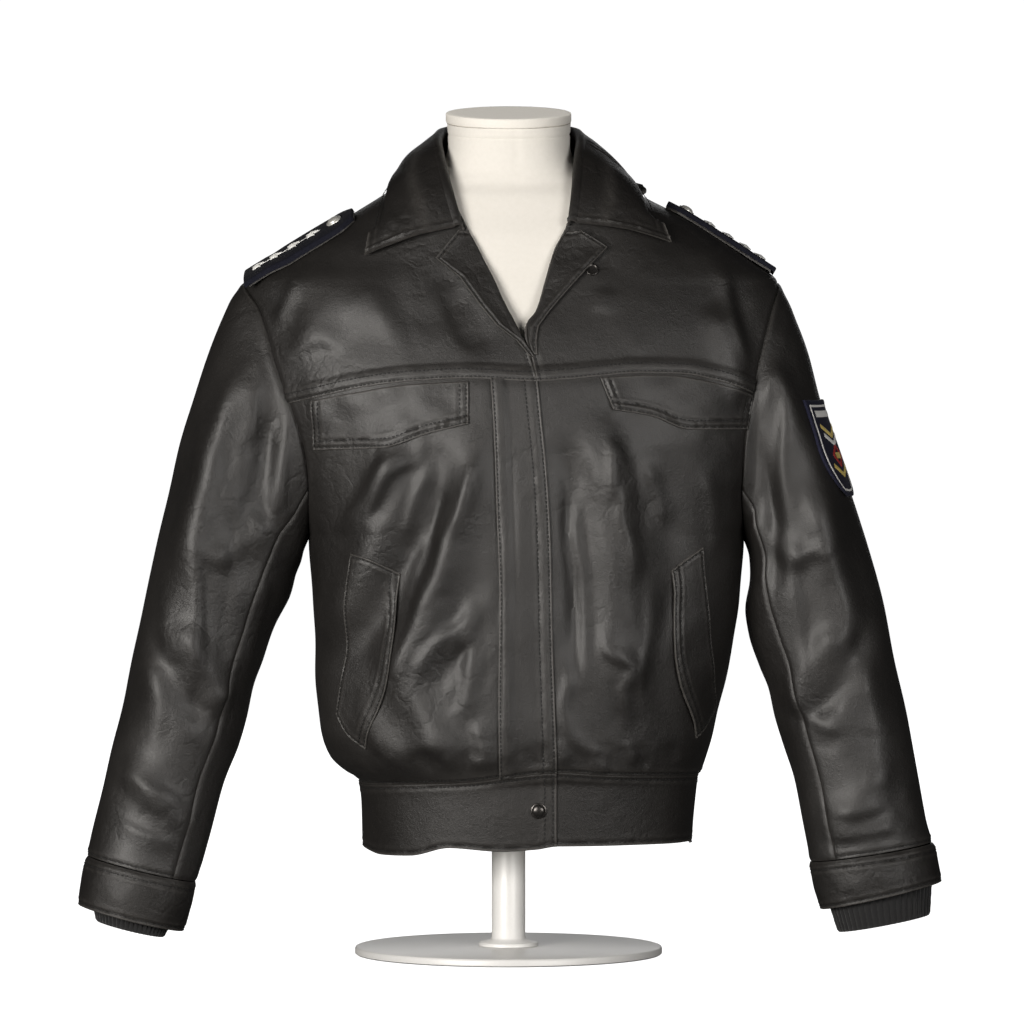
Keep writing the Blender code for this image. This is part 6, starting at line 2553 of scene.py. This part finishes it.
FORM = (
    FormSection(z=122, middle=10, half=126, front=92, back=98),
    FormSection(z=160, middle=10, half=131, front=97, back=104),
    FormSection(z=220, middle=10, half=134, front=101, back=107),
    FormSection(z=290, middle=10, half=138, front=107, back=111),
    FormSection(z=360, middle=10, half=147, front=115, back=116),
    FormSection(z=430, middle=10, half=158, front=122, back=119),
    FormSection(z=500, middle=10, half=167, front=124, back=119),
    FormSection(z=560, middle=9, half=175, front=120, back=116),
    FormSection(z=610, middle=8, half=181, front=112, back=112),
    FormSection(z=650, middle=8, half=185, front=102, back=107),
    FormSection(z=680, middle=7, half=186, front=94, back=101),
    FormSection(z=703, middle=7, half=183, front=88, back=97),
    FormSection(z=722, middle=6.5, half=176, front=83, back=93),
    FormSection(z=747, middle=6.5, half=154.5, front=73, back=85),
    FormSection(z=764, middle=4, half=124, front=66.5, back=79),
    FormSection(z=778, middle=2, half=94, front=59, back=71),
    FormSection(z=790, middle=1, half=73, front=57, back=65),
    FormSection(z=802, middle=0.5, half=64, front=57, back=62),
    FormSection(z=818, middle=0, half=61, front=58, back=61),
    FormSection(z=838, middle=0, half=62, front=60, back=62),
)


@dataclass
class DressForm:
    """The limbless form, its tilted neck plate, post and base plate."""

    sides: int = 128
    bottom: float = 122.0
    top: float = 838.0
    tilt: float = math.radians(7.0)
    base_radius: float = 155.0
    post_radius: float = 17.0

    def body(self) -> None:
        """The padded body with its sewn seams."""
        heights = np.concatenate([np.linspace(self.bottom, 640, 30), np.linspace(643, self.top, 84)])
        turn = np.linspace(0, 2 * math.pi, self.sides, endpoint=False)
        sine, cosine = np.sin(turn)[None, :], np.cos(turn)[None, :]
        keys = [row.z for row in FORM]
        read = {
            name: smooth_column(keys, [getattr(row, name) for row in FORM], heights)[:, None]
            for name in FormSection._fields[1:]
        }
        depth = np.where(cosine > 0, read["front"], read["back"])
        x = read["middle"] + read["half"] * np.sign(sine) * np.abs(sine) ** (2 / ROUNDNESS)
        y = -depth * np.sign(cosine) * np.abs(cosine) ** (2 / ROUNDNESS)
        z = heights[:, None] + 0 * x
        lean = soft_step((z - 802) / (self.top - 802))
        z = z + y * math.tan(self.tilt) * lean
        grid = np.stack([x, y, z], axis=-1)
        seam = np.exp(-(((x - 8 + (838 - z) * -0.03) / 1.3) ** 2)) * (y < 0)
        seam = seam + np.exp(-(((z - y * math.tan(self.tilt) * lean - 826) / 1.2) ** 2))
        sway = Ripple(seed=3, shortest=60, longest=160, height=0.35).at(x, y, z)
        centre = np.stack([np.zeros_like(x), np.zeros_like(x), z], axis=-1)
        out = grid - centre
        out = out / np.linalg.norm(out, axis=-1, keepdims=True)
        grid = grid + out * (sway - 0.9 * seam)[..., None]
        rows, columns = grid.shape[:2]
        faces = [face for face in shell_faces(rows, columns, True) if max(face) < rows * columns]
        faces += [tuple(range(columns)), tuple(range((rows - 1) * columns, rows * columns))[::-1]]
        piece = make_piece("form_body", grid.reshape(-1, 3), faces, FORM_CLOTH.material())
        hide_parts("form_body")

    def plate(self) -> bpy.types.Object:
        """The stiff board on the neck."""
        axis = np.array([0.0, -math.sin(self.tilt), math.cos(self.tilt)])
        profile = [
            (62.0, 0.3), (62.9, 0.8), (63.2, 1.6), (63.2, 8.4), (62.9, 9.3), (62.0, 9.8),
            (55.0, 9.9), (0.5, 9.9),
        ]
        piece = spun("neck_plate", np.array([0.0, 0.0, self.top]), axis, profile, PLATE_BOARD.material(), 128)
        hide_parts("neck_plate")
        return piece

    def stand(self) -> None:
        """The post and the round base plate."""
        up, low = np.array([0.0, 0.0, 1.0]), np.zeros(3)
        radius = self.base_radius
        post_radius, post_top = self.post_radius, self.bottom - 0.3
        base = [
            (radius - 1.5, 0.0), (radius, 1.2), (radius, 6.0), (radius - 0.8, 7.5), (radius - 2.4, 8.0),
            (1.0, 8.0),
        ]
        post = [
            (30.0, 8.3), (30.0, 11.4), (29.2, 12.2), (18.5, 14.5), (post_radius, 17.0),
            (post_radius, post_top), (1.0, post_top),
        ]
        for name, profile in (("stand_base", base), ("stand_post", post)):
            piece = spun(name, low, up, profile, STAND_PAINT.material(), 96)
            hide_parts(name)

    def build(self) -> bpy.types.Object:
        """Makes every piece of the form and gives its neck plate."""
        self.body()
        self.stand()
        return self.plate()


@dataclass
class Studio:
    """The white backdrop, the lights and the camera."""

    plate: bpy.types.Object
    distance: float = 8.0
    rise: float = math.radians(2.0)
    lens: float = 281.25
    target: tuple[float, float, float] = (0.0035, -0.06, 0.448)
    world: float = 0.022

    def backdrop(self) -> None:
        """A glowing white dome round the object and a pale floor."""
        glow = bpy.data.materials.new("backdrop_white")
        glow.use_nodes = True
        shader = glow.node_tree.nodes["Principled BSDF"]
        shader.inputs["Base Color"].default_value = (1.0, 1.0, 1.0, 1.0)
        shader.inputs["Emission Color"].default_value = (1.0, 1.0, 1.0, 1.0)
        shader.inputs["Emission Strength"].default_value = 1.0
        bpy.ops.mesh.primitive_uv_sphere_add(segments=96, ring_count=48, radius=20.0)
        bpy.context.object.name = "backdrop_dome"
        bpy.ops.mesh.primitive_plane_add(size=30.0, location=(0.0, 0.0, -0.0005))
        bpy.context.object.name = "backdrop_floor"
        for name in ("backdrop_dome", "backdrop_floor"):
            screen = bpy.data.objects[name]
            screen.data.materials.append(glow)
            screen.visible_diffuse = False
            screen.visible_glossy = False
            screen.visible_shadow = False

    def light(
        self, name: str, place: tuple[float, float, float], size: tuple[float, float], power: float,
        colour: tuple[float, float, float] = (1.0, 1.0, 1.0),
    ) -> bpy.types.Object:
        """A soft panel light that looks at the target.

        Args:
            name: Its name.
            place: Where it stands, in metres.
            size: Its width and height, in metres.
            power: Watts.
            colour: Its tint.

        Returns:
            The lamp.
        """
        data = bpy.data.lights.new(name, "AREA")
        data.shape = "RECTANGLE"
        data.size, data.size_y = size
        data.energy = power
        data.color = colour
        lamp = bpy.data.objects.new(name, data)
        lamp.location = place
        lamp.visible_camera = False
        lamp.rotation_euler = (Vector(self.target) - Vector(place)).to_track_quat("-Z", "Y").to_euler()
        bpy.context.scene.collection.objects.link(lamp)
        return lamp

    def camera(self) -> None:
        """The camera in front, a little above the middle."""
        data = bpy.data.cameras.new("camera")
        data.sensor_width = 36.0
        data.lens = self.lens
        data.clip_end = 60.0
        eye = bpy.data.objects.new("camera", data)
        target = Vector(self.target)
        eye.location = target + Vector((0.0, -math.cos(self.rise), math.sin(self.rise))) * self.distance
        eye.rotation_euler = (target - eye.location).to_track_quat("-Z", "Y").to_euler()
        bpy.context.scene.collection.objects.link(eye)
        bpy.context.scene.camera = eye

    def build(self) -> None:
        """Sets everything up."""
        self.backdrop()
        world = bpy.data.worlds.new("studio")
        world.use_nodes = True
        world.node_tree.nodes["Background"].inputs["Color"].default_value = (1.0, 1.0, 1.0, 1.0)
        world.node_tree.nodes["Background"].inputs["Strength"].default_value = self.world
        bpy.context.scene.world = world
        self.light("key_left", (-1.95, -3.0, 0.8), (2.0, 1.2), 130.0, (1.0, 0.965, 0.92))
        self.light("fill_right", (2.0, -3.1, 0.75), (1.7, 1.2), 54.0, (1.0, 0.975, 0.945))
        self.light("back_soft", (0.3, 3.6, 1.5), (2.4, 1.8), 15.0)
        top = self.light("plate_top", (0.0, 0.4, 3.2), (1.2, 1.2), 25.0, (1.0, 0.98, 0.95))
        lit = bpy.data.collections.new("plate_only")
        lit.objects.link(self.plate)
        top.light_linking.receiver_collection = lit
        bpy.context.scene.view_settings.view_transform = "Standard"
        self.camera()


def main() -> None:
    """Builds the blouson, its form and the studio."""
    logging.basicConfig(level=logging.INFO, format="%(name)s: %(message)s")
    plate = DressForm().build()
    thread = Thread("seam_stitching")
    trunk = Trunk(*rough_creases())
    panels = TrunkPieces(trunk, thread)
    panels.build()
    sleeves = SleevePieces(thread)
    shapes = sleeves.build()
    pieces = {**panels.pieces, **sleeves.pieces}
    lapels = Lapels(trunk, thread).build({word: pieces[f"yoke_front_{word}"] for word in ("right", "left")})
    below = [pieces["yoke_front_right"], pieces["yoke_front_left"], pieces["yoke_back"], *lapels.values()]
    Collar(trunk, thread).build(below)
    PocketFlaps(trunk, thread).build(pieces)
    ShoulderStraps(thread).build(pieces)
    SleevePatch(shapes[1]).build(pieces["sleeve_top_left"])
    Fasteners(trunk).build(pieces["hem_front_right"], pieces["yoke_front_left"])
    thread.build(THREAD.material())
    Studio(plate).build()


if __name__ == "__main__":
    main()
